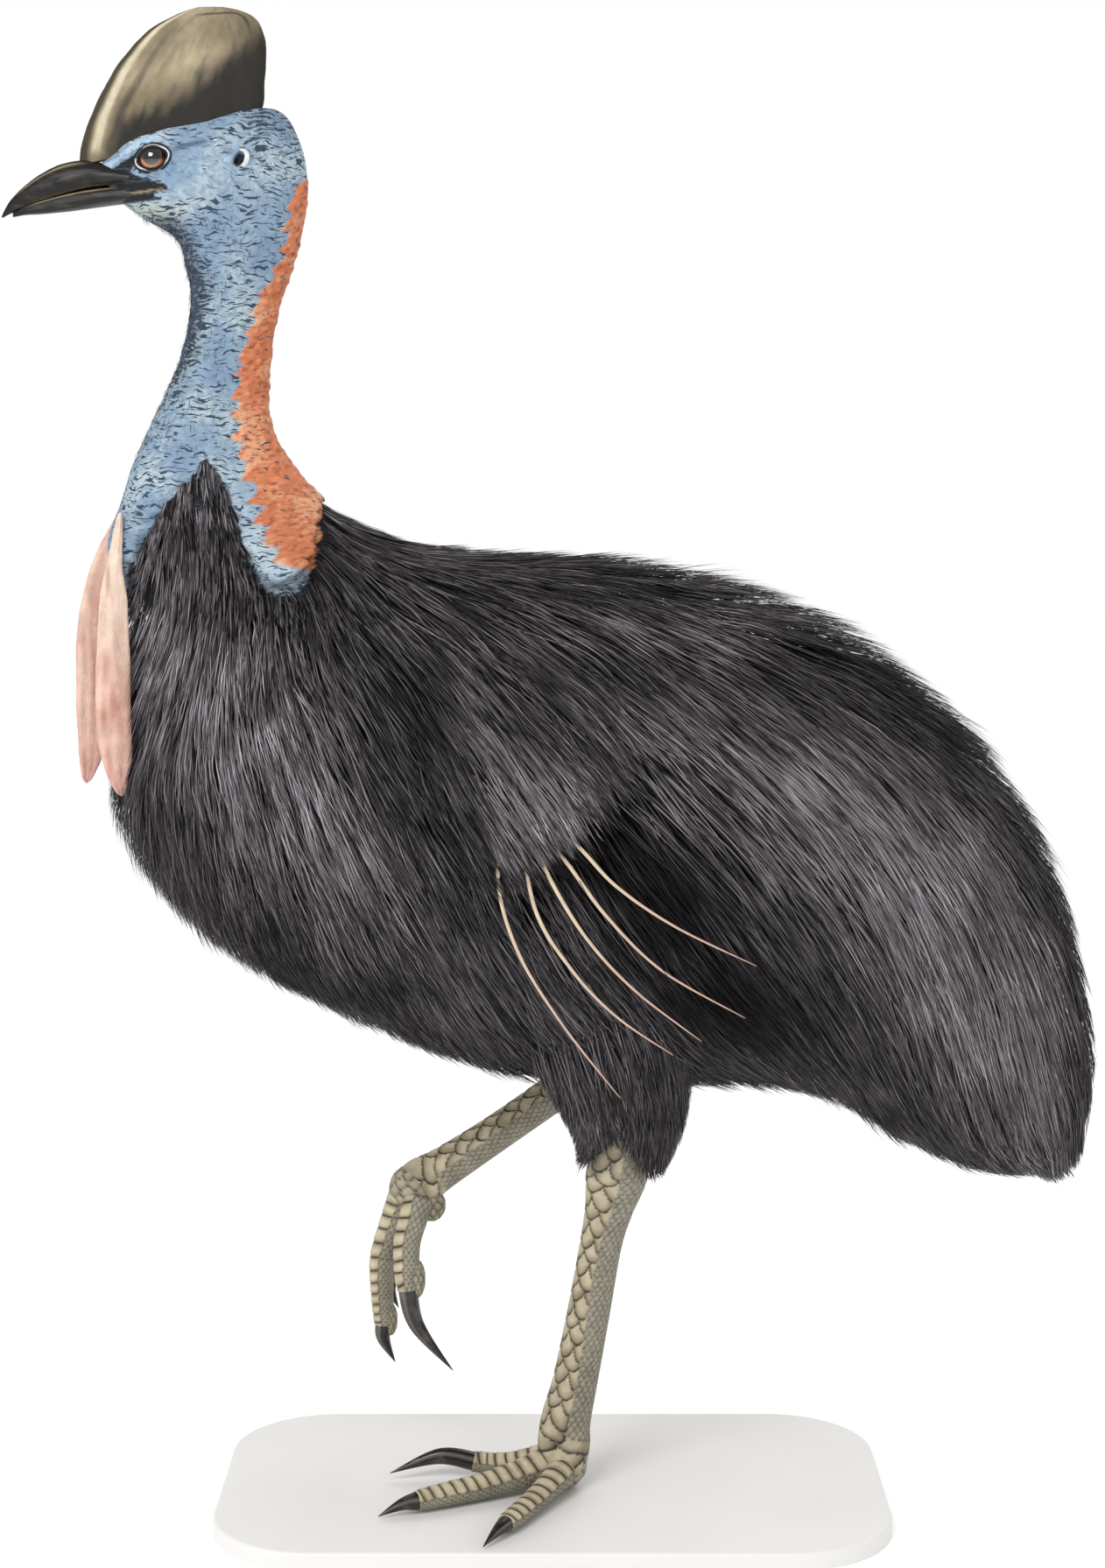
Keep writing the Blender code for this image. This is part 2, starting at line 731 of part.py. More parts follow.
def on_the_base(rings):
    """The rings with their undersides flattened where they would pass into the base."""
    floor = BASE_THICK + GAP
    return [np.column_stack([ring[:, :2], np.maximum(ring[:, 2], floor)]) for ring in rings]


def make_foot(word, toes, lead, shank):
    """The three toes and claws of one foot, cut to meet the shank and each other."""
    cutters = [shank]
    for name in ("middle", "outer", "inner"):
        toe_rings, claw_rings = toe_parts(toes[name], lead)
        if word == "left":
            toe_rings = on_the_base(toe_rings)
            claw_rings = on_the_base(claw_rings)
        toe = mesh_object(f"toe_{name}_{word}", toe_rings, "leg_skin")
        rooms = [mesh_object("room", grown(rings, CLEAR), "leg_skin") for rings in cutters]
        combine(toe, rooms, "DIFFERENCE")
        mesh_object(f"claw_{name}_{word}", claw_rings, "claw_horn")
        if name == "middle":
            cutters.append(toe_rings)


def thigh_rings(rows):
    """Rings round a whole feathered thigh, out to the tips of its locks."""
    places = np.linspace(0, len(rows) - 1, 8)
    return limb_rings(rows, (-1, 0, 0), places, 14)


def thigh_core_rings(rows):
    """Rings of the thigh's core. Inside the trunk it is full, and below it lies under the locks."""
    places = np.linspace(0, len(rows) - 1, 8)[:-1]
    return limb_rings(rows, (-1, 0, 0), places, 14, thigh_relief)


def thigh_relief(place, angle):
    """How far under its locks the thigh's core lies."""
    return -THIGH_COAT * min(max(place - 1.3, 0), 1)


def lock_object(points, normals, length_sizes):
    """One flat lock along a line of points. Its sections are thin lozenges, and it ends in a
    point. length_sizes holds the width and thickness of each section in millimetres."""
    work = bmesh.new()
    along = unit(np.gradient(points, axis=0))
    loops = []
    for k, (width, thick) in enumerate(length_sizes):
        across = unit(np.cross(along[k], normals[k])) * width * MM / 2
        out = unit(np.cross(across, along[k])) * thick * MM / 2
        corners = (points[k] + across, points[k] + out, points[k] - across, points[k] - out)
        loops.append([work.verts.new(corner) for corner in corners])
    tip = work.verts.new(points[-1])
    for lower, upper in zip(loops, loops[1:]):
        for k in range(4):
            j = (k + 1) % 4
            work.faces.new((lower[k], lower[j], upper[j], upper[k]))
    for k in range(4):
        work.faces.new((loops[-1][k], loops[-1][(k + 1) % 4], tip))
    work.faces.new(loops[0][::-1])
    bmesh.ops.triangulate(work, faces=work.faces[:])
    if work.calc_volume(signed=True) < 0:
        bmesh.ops.reverse_faces(work, faces=work.faces[:])
    data = bpy.data.meshes.new("lock")
    work.to_mesh(data)
    work.free()
    data.materials.append(material("plumage"))
    obj = bpy.data.objects.new("lock", data)
    bpy.context.scene.collection.objects.link(obj)
    return obj


def lock_sizes(kind, scale):
    """Width and thickness of each section of a lock of one kind."""
    return [(kind["width"] * scale * w, kind["thick"] * t) for w, t in zip(LOCK_WIDTHS, LOCK_THICKS)]


def thigh_locks(rows, first_row, rng):
    """Locks in rings round the lower thigh, within the outline that its rows give."""
    made = []
    reach = len(rows) - 1
    for tier, place in enumerate(np.linspace(first_row, THIGH_BARE - 0.5, 2)):
        for turn in turned(6, 0.5 * tier):
            angle = turn + rng.uniform(-0.1, 0.1)
            end = min(place + 1.35 + rng.uniform(-0.1, 0.15), reach + 0.1 * rng.uniform(-1, 1))
            places = place + (end - place) * np.array(LOCK_STEPS)
            data = spline(rows, places)
            centres = np.stack([data[:, 0], data[:, 2], data[:, 1]], axis=1) * MM
            centres[:, 2] += BASE_THICK
            centres[-1] += (centres[-1] - centres[-2]) * max(0, end - reach)
            front, side = path_frames(centres, (-1, 0, 0))
            inset = np.array([THIGH_COAT + 5, 10, 10, 8])
            deep = ((data[:, 3] - inset) * math.cos(angle) * MM)[:, None]
            wide = ((data[:, 4] - inset) * math.sin(angle) * MM)[:, None]
            spokes = deep * front + wide * side
            made.append(lock_object(centres + spokes, unit(spokes), lock_sizes(THIGH_LOCK, rng.uniform(0.85, 1.1))))
    return made


def make_thighs():
    """The feathered thighs, open below for the hocks."""
    rng = np.random.default_rng(SEED)
    legs = (("thigh_left", THIGH_LEFT, SHANK_LEFT, 1.7), ("thigh_right", THIGH_RIGHT, SHANK_RIGHT, 1.9))
    for name, rows, shank, first_row in legs:
        thigh = mesh_object(name, thigh_core_rings(rows), "plumage")
        combine(thigh, thigh_locks(rows, first_row, rng), "UNION")
        room = mesh_object("shank room", grown(shank_rings(shank), CLEAR), "plumage")
        combine(thigh, [room], "DIFFERENCE")


def lie_of_coat(s, a, under):
    """The direction that the coat lies in on the trunk: towards the tail, and drooping."""
    point, normal, along = body_frame(s, a, under)
    wish = along + DROOP * np.array([0, 0, -1.0])
    return point, normal, unit(wish - (wish * normal).sum(axis=1, keepdims=True) * normal)


def step_on_body(s, a, under, direction, distance):
    """The station and angle a distance along the body's surface in some direction."""
    small = 0.02
    by_s = (body_point(s + small, a, under) - body_point(s - small, a, under))[0] / (2 * small)
    by_a = (body_point(s, a + small, under) - body_point(s, a - small, under))[0] / (2 * small)
    turn = np.linalg.lstsq(np.stack([by_s, by_a], axis=1), direction * distance, rcond=None)[0]
    return s + turn[0], a + turn[1]


def thigh_clearance(point, rows):
    """How many millimetres to the side a point of the coat must move to pass outside a thigh."""
    data = spline(rows, np.linspace(0, len(rows) - 1, 25))
    x, y, z = point[0] / MM, abs(point[1]) / MM, (point[2] - BASE_THICK) / MM
    gap = np.hypot(data[:, 0] - x, data[:, 1] - z)
    k = int((gap / data[:, 3]).argmin())
    across = gap[k] / (data[k, 3] + 12)
    if across >= 1:
        return 0.0
    outside = abs(data[k, 2]) + data[k, 4] * math.sqrt(1 - across**2) + 8
    return max(0.0, outside - y)


def under_wing(point, side):
    """Whether a point of the coat lies where the stub wing is."""
    if point[1] * side < 0:
        return False
    rows = spline(np.array(WING, float), np.linspace(0, len(WING) - 1, 17))
    x, z = point[0] / MM, (point[2] - BASE_THICK) / MM - WING_RAISE[side]
    return bool((np.hypot(rows[:, 0] - x, rows[:, 1] - z) < rows[:, 2] + 22).any())


def above_plumage(point, margin):
    """Whether a point lies above the plumage's edge on the neck."""
    edge = np.array(PLUMAGE_EDGE, float)
    x, z = point[0] / MM, (point[2] - BASE_THICK) / MM
    if x > edge[-1, 0]:
        return False
    return z > np.interp(x, edge[:, 0], edge[:, 1]) + margin


def lock_line(s, a, length):
    """Points and normals down one lock of the trunk, or None where it has no room."""
    depth = spline(BODY, [s])[0, 5]
    points = []
    normals = []
    place = (s, a)
    spot, normal, lie = lie_of_coat(s, a, LOCK_UNDER[0])
    if above_plumage(spot[0], 20):
        return None
    for k, (step, under) in enumerate(zip(LOCK_STEPS, LOCK_UNDER)):
        if k:
            travel = (step - LOCK_STEPS[k - 1]) * length * MM
            for _ in range(3):
                _, _, lie = lie_of_coat(*place, under)
                place = step_on_body(*place, under, lie[0], travel / 3)
        held = min(place[0], TRUNK_END)
        spot, normal, lie = lie_of_coat(held, place[1], under)
        spot = spot[0]
        if place[0] > TRUNK_END:
            spot = points[-1] + unit(0.4 * lie[0] + np.array([0, 0, -1.0])) * travel * 0.35
        side = 1 if spot[1] > 0 else -1
        if under_wing(spot, side):
            return None
        if k:
            aside = thigh_clearance(spot, THIGH_RIGHT if side > 0 else THIGH_LEFT)
            if aside > MOST_ASIDE:
                return None
            spot[1] += side * aside * MM
        points.append(spot)
        normals.append(normal[0])
    return np.array(points), np.array(normals)


def trunk_roots(rng):
    """Places spread evenly over the trunk, as far apart along the lie and across it as locks
    are."""
    count = 5000
    s = rng.uniform(TRUNK_START, TRUNK_END - 0.9, count)
    a = rng.uniform(0, 2 * math.pi, count)
    step = 0.02
    by_s = body_point(s + step, a, CORE) - body_point(s - step, a, CORE)
    by_a = body_point(s, a + step, CORE) - body_point(s, a - step, CORE)
    area = np.linalg.norm(np.cross(by_s, by_a), axis=1)
    keep = rng.uniform(0, 1, count) < area / area.max()
    s, a = s[keep], a[keep]
    points, normals, lies = lie_of_coat(s, a, CORE)
    taken = []
    for k in range(len(s)):
        if taken:
            offset = (points[taken] - points[k]) / MM
            along = offset @ lies[k]
            across = np.linalg.norm(offset - along[:, None] * lies[k], axis=1)
            if ((along / TRUNK_LOCK["along"]) ** 2 + (across / TRUNK_LOCK["across"]) ** 2).min() < 1:
                continue
        taken.append(k)
    return [(s[k], a[k]) for k in taken]


def trunk_locks():
    """The locks of the trunk's coat."""
    rng = np.random.default_rng(SEED)
    made = []
    for s, a in trunk_roots(rng):
        grade = min(max((s - TRUNK_START) / 4, 0.45), 1)
        for shorter in (1.0, 0.75, 0.5):
            line = lock_line(s, a, TRUNK_LOCK["length"] * grade * shorter * rng.uniform(0.9, 1.1))
            if line:
                sizes = lock_sizes(TRUNK_LOCK, grade * rng.uniform(0.9, 1.1))
                made.append(lock_object(*line, sizes))
                break
    print("trunk locks", len(made))
    return made


def flank_y(x, z, under=0.0):
    """Half width of the trunk's left flank at points x, z in millimetres."""
    s = np.linspace(TRUNK_START, TRUNK_END, 160)
    a = np.linspace(0.15, math.pi - 0.15, 70)
    grid_s, grid_a = np.meshgrid(s, a, indexing="ij")
    points = body_point(grid_s.ravel(), grid_a.ravel(), under)
    gap = np.hypot(points[:, 0] - x * MM, points[:, 2] - BASE_THICK - z * MM)
    nearest = np.argsort(gap)[:6]
    weight = 1 / (gap[nearest] + 1e-4)
    return float(-(points[nearest, 1] * weight).sum() / weight.sum() / MM)


def wing_rings(side):
    """Rings of a stub wing, which lies along the flank."""
    rows = []
    for x, z, deep, thick in WING:
        z += WING_RAISE[side]
        rows.append((x, z, side * (flank_y(x, z) + WING_LIFT - thick), deep, thick))
    return limb_rings(rows, (-1, 0, 0), np.linspace(0, len(rows) - 1, 8), 10)


def quill_rings(quill, side):
    """Rings of one bare quill, tapering to its tip and clear of the flank's plumage."""
    rows = []
    for k, (x, z) in enumerate(quill):
        z += WING_RAISE[side]
        lift = QUILL_LIFT if k else -4
        thick = QUILL_RADIUS * (1 - 0.72 * (k / (len(quill) - 1)) ** 2)
        rows.append((x, z, side * (max(flank_y(x, z), QUILL_LEAST) + lift), thick, thick))
    return limb_rings(rows, (-1, 0, 0), np.linspace(0, len(rows) - 1, 8), 4)


def wing_pieces(side):
    """All the rings of one wing: the stub first, then its quills."""
    return [wing_rings(side)] + [quill_rings(quill, side) for quill in QUILLS]


def make_wings():
    """The stub wings with their bare quills."""
    made = []
    for side, word in ((-1, "left"), (1, "right")):
        stub, *quills = wing_pieces(side)
        wing = mesh_object("wing_" + word, stub, "plumage")
        shafts = [mesh_object("quill", rings, "plumage") for rings in quills]
        made.append(combine(wing, shafts, "UNION"))
    return made


def make_torso():
    """The feathered trunk, open for the neck, thighs, shanks and wings."""
    torso = mesh_object("torso", body_rings(TRUNK_START, TRUNK_END, 1.0, 20, CORE), "plumage")
    combine(torso, trunk_locks(), "UNION")
    rooms = [edge_prism("bare skin room", ((-226, 1500), (-560, 1500)))]
    pieces = [thigh_rings(THIGH_LEFT), thigh_rings(THIGH_RIGHT), shank_rings(SHANK_RIGHT)]
    pieces += wing_pieces(-1) + wing_pieces(1)
    pieces += [wattle_rings(WATTLE_LEFT), wattle_rings(WATTLE_RIGHT)]
    for rings in pieces:
        rooms.append(mesh_object("room", grown(rings, CLEAR), "plumage"))
    return combine(torso, rooms, "DIFFERENCE")


def main():
    clear_scene()
    make_base()
    make_bill()
    make_head()
    make_casque()
    make_neck()
    make_wattles()
    make_shanks()
    make_foot("left", TOES_LEFT, (0, 0, 1), shank_rings(SHANK_LEFT))
    make_foot("right", TOES_RIGHT, (-1, 0, 0), shank_rings(SHANK_RIGHT))
    make_thighs()
    make_wings()
    make_torso()
    total = 0
    for obj in bpy.context.scene.objects:
        obj.data.calc_loop_triangles()
        total += len(obj.data.loop_triangles)
        print(obj.name, len(obj.data.loop_triangles))
    print("triangles in all", total)


main()
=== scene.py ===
# %% [markdown]
# # A southern cassowary in mid-stride
#
# The bird stands on its left foot with the right one lifted, its head in profile. It is a still
# model at life size: bare skin on head and neck, horn and scales where the real bird has them,
# and a coat of long loose feathers.
#
# Plain solids of the same bird are there already. This script loads them and dresses them piece
# by piece, and says for each piece which solids it stands in for. The markdown cells tell what
# comes next on the real bird, how it could be made, and why it is made this way.

# %% The frame
import math

import bpy
import numpy as np
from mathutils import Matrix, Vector, noise


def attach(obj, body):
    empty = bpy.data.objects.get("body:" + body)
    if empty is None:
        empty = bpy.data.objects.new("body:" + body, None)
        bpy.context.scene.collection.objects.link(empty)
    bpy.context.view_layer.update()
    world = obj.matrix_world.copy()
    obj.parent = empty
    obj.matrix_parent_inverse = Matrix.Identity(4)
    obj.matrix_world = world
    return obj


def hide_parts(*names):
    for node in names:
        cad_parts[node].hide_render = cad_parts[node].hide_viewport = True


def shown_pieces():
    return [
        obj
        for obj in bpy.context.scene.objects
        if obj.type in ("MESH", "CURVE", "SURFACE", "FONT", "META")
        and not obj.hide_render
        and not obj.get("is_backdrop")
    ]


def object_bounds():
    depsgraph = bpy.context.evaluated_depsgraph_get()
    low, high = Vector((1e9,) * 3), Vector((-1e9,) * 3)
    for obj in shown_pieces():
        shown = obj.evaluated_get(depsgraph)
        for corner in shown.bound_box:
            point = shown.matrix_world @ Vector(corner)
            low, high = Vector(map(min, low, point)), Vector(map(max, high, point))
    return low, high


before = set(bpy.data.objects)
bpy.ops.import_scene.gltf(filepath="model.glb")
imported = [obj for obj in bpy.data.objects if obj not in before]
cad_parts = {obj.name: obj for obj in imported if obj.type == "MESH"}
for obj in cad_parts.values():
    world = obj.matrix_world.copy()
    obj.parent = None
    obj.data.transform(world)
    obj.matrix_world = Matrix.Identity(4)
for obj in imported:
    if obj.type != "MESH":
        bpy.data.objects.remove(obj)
size_at_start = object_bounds()
print("box of the plain solids, in metres:", size_at_start)

MM = 0.001
BASE_THICK = 0.020
SIDES = ((-1, "left"), (1, "right"))
FORWARD = (-1, 0, 0)
UP = (0, 0, 1)

# %% [markdown]
# ## The form of the body
#
# Head, neck and trunk run into one another without an edge, from the root of the bill to the
# tail. They could be sculpted by hand, or melted together from balls. Here they are one fan of
# sections, because a short table then holds the whole profile and every later piece can ask it
# for a point. Each row has a point on the back line, one on the front or belly line, a half
# width, and the depth of the plumage over the skin, all in millimetres.

# %% Stations
BODY = np.array([
    (-510, 1524, -479, 1484, 16, 0),
    (-475, 1555, -459, 1470, 26, 0),
    (-431, 1573, -439, 1459, 33, 0),
    (-382, 1581, -424, 1449, 37, 0),
    (-338, 1590, -415, 1434, 40, 0),
    (-299, 1583, -412, 1418, 41, 0),
    (-277, 1536, -407, 1396, 39, 0),
    (-276, 1486, -407, 1374, 37, 0),
    (-289, 1427, -411, 1345, 35, 0),
    (-311, 1361, -421, 1310, 35, 0),
    (-320, 1299, -439, 1270, 38, 0),
    (-318, 1238, -464, 1219, 45, 0),
    (-284, 1181, -482, 1171, 60, 4),
    (-230, 1137, -490, 1088, 88, 14),
    (-160, 1110, -487, 1003, 128, 30),
    (-81, 1101, -500, 877, 170, 44),
    (-1, 1098, -490, 774, 198, 52),
    (84, 1091, -396, 657, 213, 52),
    (168, 1074, -240, 562, 221, 52),
    (253, 1047, -67, 497, 221, 52),
    (339, 1006, 96, 482, 212, 52),
    (418, 948, 234, 480, 196, 52),
    (488, 876, 326, 460, 176, 50),
    (544, 793, 393, 420, 152, 48),
    (586, 698, 455, 390, 122, 44),
    (613, 597, 511, 374, 90, 38),
    (627, 505, 561, 372, 58, 30),
    (624, 446, 596, 386, 30, 18),
], float)
EGG = 0.12
SKIN_END = 26.6


# %% Curves and sections
def spline(rows, t):
    """Smooth values between the rows of a table, at the places t counted in rows."""
    rows = np.asarray(rows, float)
    t = np.clip(np.atleast_1d(np.asarray(t, float)), 0, len(rows) - 1)
    i = np.minimum(t.astype(int), len(rows) - 2)
    f = (t - i)[:, None]
    before = rows[np.maximum(i - 1, 0)]
    start = rows[i]
    end = rows[i + 1]
    after = rows[np.minimum(i + 2, len(rows) - 1)]
    rise = end - before
    bend = 2 * before - 5 * start + 4 * end - after
    twist = 3 * start - before - 3 * end + after
    return start + 0.5 * (rise * f + bend * f**2 + twist * f**3)


def unit(vectors):
    return vectors / np.maximum(np.linalg.norm(vectors, axis=-1, keepdims=True), 1e-12)


def dot(a, b):
    return (a * b).sum(axis=-1)


def section_points(row, a, under):
    """Points round sections; under is the share of the plumage's depth below its tips."""
    depth = under * row[:, 5]
    half = (row[:, 0:2] - row[:, 2:4]) / 2
    middle = (row[:, 0:2] + row[:, 2:4]) / 2
    half = half * (1 - depth / np.linalg.norm(half, axis=1))[:, None]
    across = (row[:, 4] - depth) * np.sin(a) * (1 - EGG * np.cos(a))
    flat = middle + half * np.cos(a)[:, None]
    return np.stack([flat[:, 0] * MM, -across * MM, flat[:, 1] * MM + BASE_THICK], axis=1)


def body_point(s, a, under=0.0):
    """Points of the body at stations s and angles a, which run from the back, 0, to the belly."""
    s, a, under = np.broadcast_arrays(np.atleast_1d(s), np.atleast_1d(a), np.atleast_1d(under))
    shape = s.shape
    points = section_points(spline(BODY, s.ravel()), a.ravel(), under.ravel())
    return points.reshape(*shape, 3)


def body_slopes(s, a, under=0.0):
    """How the body's surface runs along the stations and round them."""
    step = 0.02
    along = (body_point(s + step, a, under) - body_point(s - step, a, under)) / (2 * step)
    around = (body_point(s, a + step, under) - body_point(s, a - step, under)) / (2 * step)
    return along, around


def smooth_step(value, low, high):
    t = np.clip((value - low) / (high - low), 0, 1)
    return t * t * (3 - 2 * t)


def turned(count):
    """Angles spaced evenly round a ring."""
    return np.arange(count) * 2 * math.pi / count


# %% [markdown]
# ## Making meshes
#
# Every piece is a mesh. Blender's own tools could model the pieces one by one, but arrays of
# points are quicker where there are a million of them, and can be measured as they are made.
# Rings of points are joined into a closed skin. Colours that follow the anatomy are kept on the
# points as a colour attribute, and the materials add the fine detail to them.


# %% Mesh helpers
def new_piece(name, points, quads=None, tris=None, tint=None, smooth=True):
    """A mesh object from arrays of points and faces, with a colour for each point."""
    mesh = bpy.data.meshes.new(name)
    points = np.asarray(points, np.float32).reshape(-1, 3)
    mesh.vertices.add(len(points))
    mesh.vertices.foreach_set("co", points.ravel())
    quads = np.zeros((0, 4), np.int32) if quads is None else np.asarray(quads, np.int32)
    tris = np.zeros((0, 3), np.int32) if tris is None else np.asarray(tris, np.int32)
    mesh.loops.add(quads.size + tris.size)
    mesh.loops.foreach_set("vertex_index", np.concatenate([quads.ravel(), tris.ravel()]))
    starts = np.concatenate([np.arange(len(quads)) * 4, quads.size + np.arange(len(tris)) * 3])
    mesh.polygons.add(len(quads) + len(tris))
    mesh.polygons.foreach_set("loop_start", starts.astype(np.int32))
    mesh.update(calc_edges=True)
    mesh.validate()
    if tint is not None:
        colour = mesh.color_attributes.new("Tint", "FLOAT_COLOR", "POINT")
        tint = np.asarray(tint, np.float32)
        full = np.zeros((len(points), 4), np.float32)
        full[:, :tint.shape[-1]] = tint.reshape(-1, tint.shape[-1])
        colour.data.foreach_set("color", full.ravel())
    if smooth:
        mesh.shade_smooth()
    obj = bpy.data.objects.new(name, mesh)
    bpy.context.scene.collection.objects.link(obj)
    return obj


# %% Skins over rings
def grid_quads(rows, columns):
    """Faces between neighbouring points of a grid whose columns run right round."""
    here = np.arange(rows - 1)[:, None] * columns
    below = here + columns
    c = np.arange(columns)[None, :]
    n = (c + 1) % columns
    return np.stack([here + c, here + n, below + n, below + c], axis=-1).reshape(-1, 4)


def loft(rings):
    """Points and faces of a closed skin over rings of points, with both ends closed."""
    rings = np.asarray(rings)
    rows, columns, _ = rings.shape
    points = np.concatenate([rings.reshape(-1, 3), rings[0].mean(0)[None], rings[-1].mean(0)[None]])
    c = np.arange(columns)
    n = (c + 1) % columns
    last_row = (rows - 1) * columns
    first = np.stack([np.full(columns, rows * columns), n, c], axis=1)
    last = np.stack([np.full(columns, rows * columns + 1), last_row + c, last_row + n], axis=1)
    return points, grid_quads(rows, columns), np.concatenate([first, last])


def painted(rings, tint):
    """A closed skin over rings with a colour for each point. Its two ends take a neighbour's."""
    tint = tint.reshape(-1, tint.shape[-1])
    return (*loft(rings), np.concatenate([tint, tint[:1], tint[-1:]]))


def merged(parts):
    """One set of points and faces from several (points, quads, tris, tint)."""
    points, quads, tris, tints = [], [], [], []
    offset = 0
    for p, q, t, c in parts:
        points.append(p)
        quads.append(q + offset)
        tris.append(t + offset)
        tints.append(np.broadcast_to(c, (len(p), np.shape(c)[-1])))
        offset += len(p)
    return np.concatenate(points), np.concatenate(quads), np.concatenate(tris), np.concatenate(tints)


def grid_normals(rings):
    """Outward directions on a grid of points that is closed round its columns."""
    along = np.gradient(rings, axis=0)
    around = np.roll(rings, -1, axis=1) - np.roll(rings, 1, axis=1)
    return unit(np.cross(around, along))


def noise_at(points, scale, seed=0.0):
    """Smooth noise from -1 to 1 at many points, given in metres."""
    moved = np.asarray(points) * scale + seed
    return np.array([noise.noise(Vector(p)) for p in moved.reshape(-1, 3)]).reshape(points.shape[:-1])


def mixed(a, b, share):
    """Colours between a and b."""
    share = np.asarray(share)[..., None]
    return np.asarray(a) * (1 - share) + np.asarray(b) * share


# %% Working on rings
def raised(rings, lift):
    """Rings with each point moved outward by lift, in millimetres."""
    return rings + grid_normals(rings) * lift[..., None] * MM


def narrowed(rings, share):
    """Rings drawn in towards their middles, each to its share of its size."""
    centre = rings.mean(axis=1, keepdims=True)
    return centre + (rings - centre) * share[:, None, None]


def round_share(angles, rings):
    """How far points lie round a ring, from its first point, 0, to the one opposite, 1."""
    return np.broadcast_to((1 - np.cos(angles))[None, :] / 2, rings.shape[:2])


def dress(piece, material, slot, *nodes):
    """Give a piece its finish, fix it to the model and let it stand in for plain solids."""
    piece.data.materials.append(material)
    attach(piece, "root")
    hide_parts(*nodes)
    print(piece.name, len(piece.data.polygons), "faces, in place of", ", ".join(nodes))


# %% [markdown]
# ## Materials
#
# Skin, horn and scales share a few effects: fine wrinkles, short dark marks, a faint mottling
# and lines of growth. They could be painted as pictures, but a picture needs unwrapped meshes
# and goes soft close up. So each effect is a small network of noise nodes. It is kept as a node
# group that is built once and placed in each material with its own values.


# %% Node helpers
def new_group(name, inputs, outputs):
    """An empty node group with named inputs and outputs, and its two end nodes."""
    group = bpy.data.node_groups.new(name, "ShaderNodeTree")
    for label, kind, value in inputs:
        socket = group.interface.new_socket(label, in_out="INPUT", socket_type=kind)
        socket.default_value = value
    for label, kind in outputs:
        group.interface.new_socket(label, in_out="OUTPUT", socket_type=kind)
    start = group.nodes.new("NodeGroupInput")
    end = group.nodes.new("NodeGroupOutput")
    return group, start, end


def add(tree, kind, links=(), **values):
    """A node with some of its settings, and links into its inputs given as (input, output)."""
    node = tree.nodes.new(kind)
    for key, value in values.items():
        setattr(node, key, value)
    for socket, source in links:
        if isinstance(source, bpy.types.NodeSocket):
            tree.links.new(source, node.inputs[socket])
        else:
            node.inputs[socket].default_value = source
    return node


def vector_maths(tree, operation, first, second):
    """The outcome of one operation on two vectors."""
    return add(tree, "ShaderNodeVectorMath", [(0, first), (1, second)], operation=operation).outputs[0]


def number_maths(tree, operation, first, second, **values):
    """The outcome of one operation on two numbers."""
    return add(tree, "ShaderNodeMath", [(0, first), (1, second)], operation=operation, **values).outputs[0]


# %% [markdown]
# Wrinkled skin is a pattern of small cells with creases between them. A Voronoi texture gives
# the distance to the nearest crease, and a little noise bends the cells so that none is straight.


# %% Wrinkles
def wrinkle_group():
    """Fine creases between small cells of skin, as a height."""
    inputs = (("Scale", "NodeSocketFloat", 300.0), ("Depth", "NodeSocketFloat", 1.0))
    group, start, end = new_group("Skin wrinkles", inputs, (("Height", "NodeSocketFloat"),))
    place = add(group, "ShaderNodeTexCoord").outputs["Object"]
    warp = add(group, "ShaderNodeTexNoise", [("Vector", place), ("Scale", 60.0)])
    moved = vector_maths(group, "MULTIPLY", warp.outputs["Color"], (0.006, 0.006, 0.006))
    there = vector_maths(group, "ADD", place, moved)
    links = [("Vector", there), ("Scale", start.outputs["Scale"])]
    cells = add(group, "ShaderNodeTexVoronoi", links, feature="DISTANCE_TO_EDGE")
    links = [("Value", cells.outputs["Distance"]), ("From Max", 0.16)]
    soft = add(group, "ShaderNodeMapRange", links, interpolation_type="SMOOTHSTEP")
    deep = number_maths(group, "MULTIPLY", soft.outputs["Result"], start.outputs["Depth"])
    group.links.new(deep, end.inputs["Height"])
    return group


# %% [markdown]
# Between the folds of the neck the skin is set with short dark marks that lie across it. They
# are noise stretched sideways and cut off at a level. Each point's Amount moves that level, so
# the marks crowd together on the throat and thin out on the cheek.


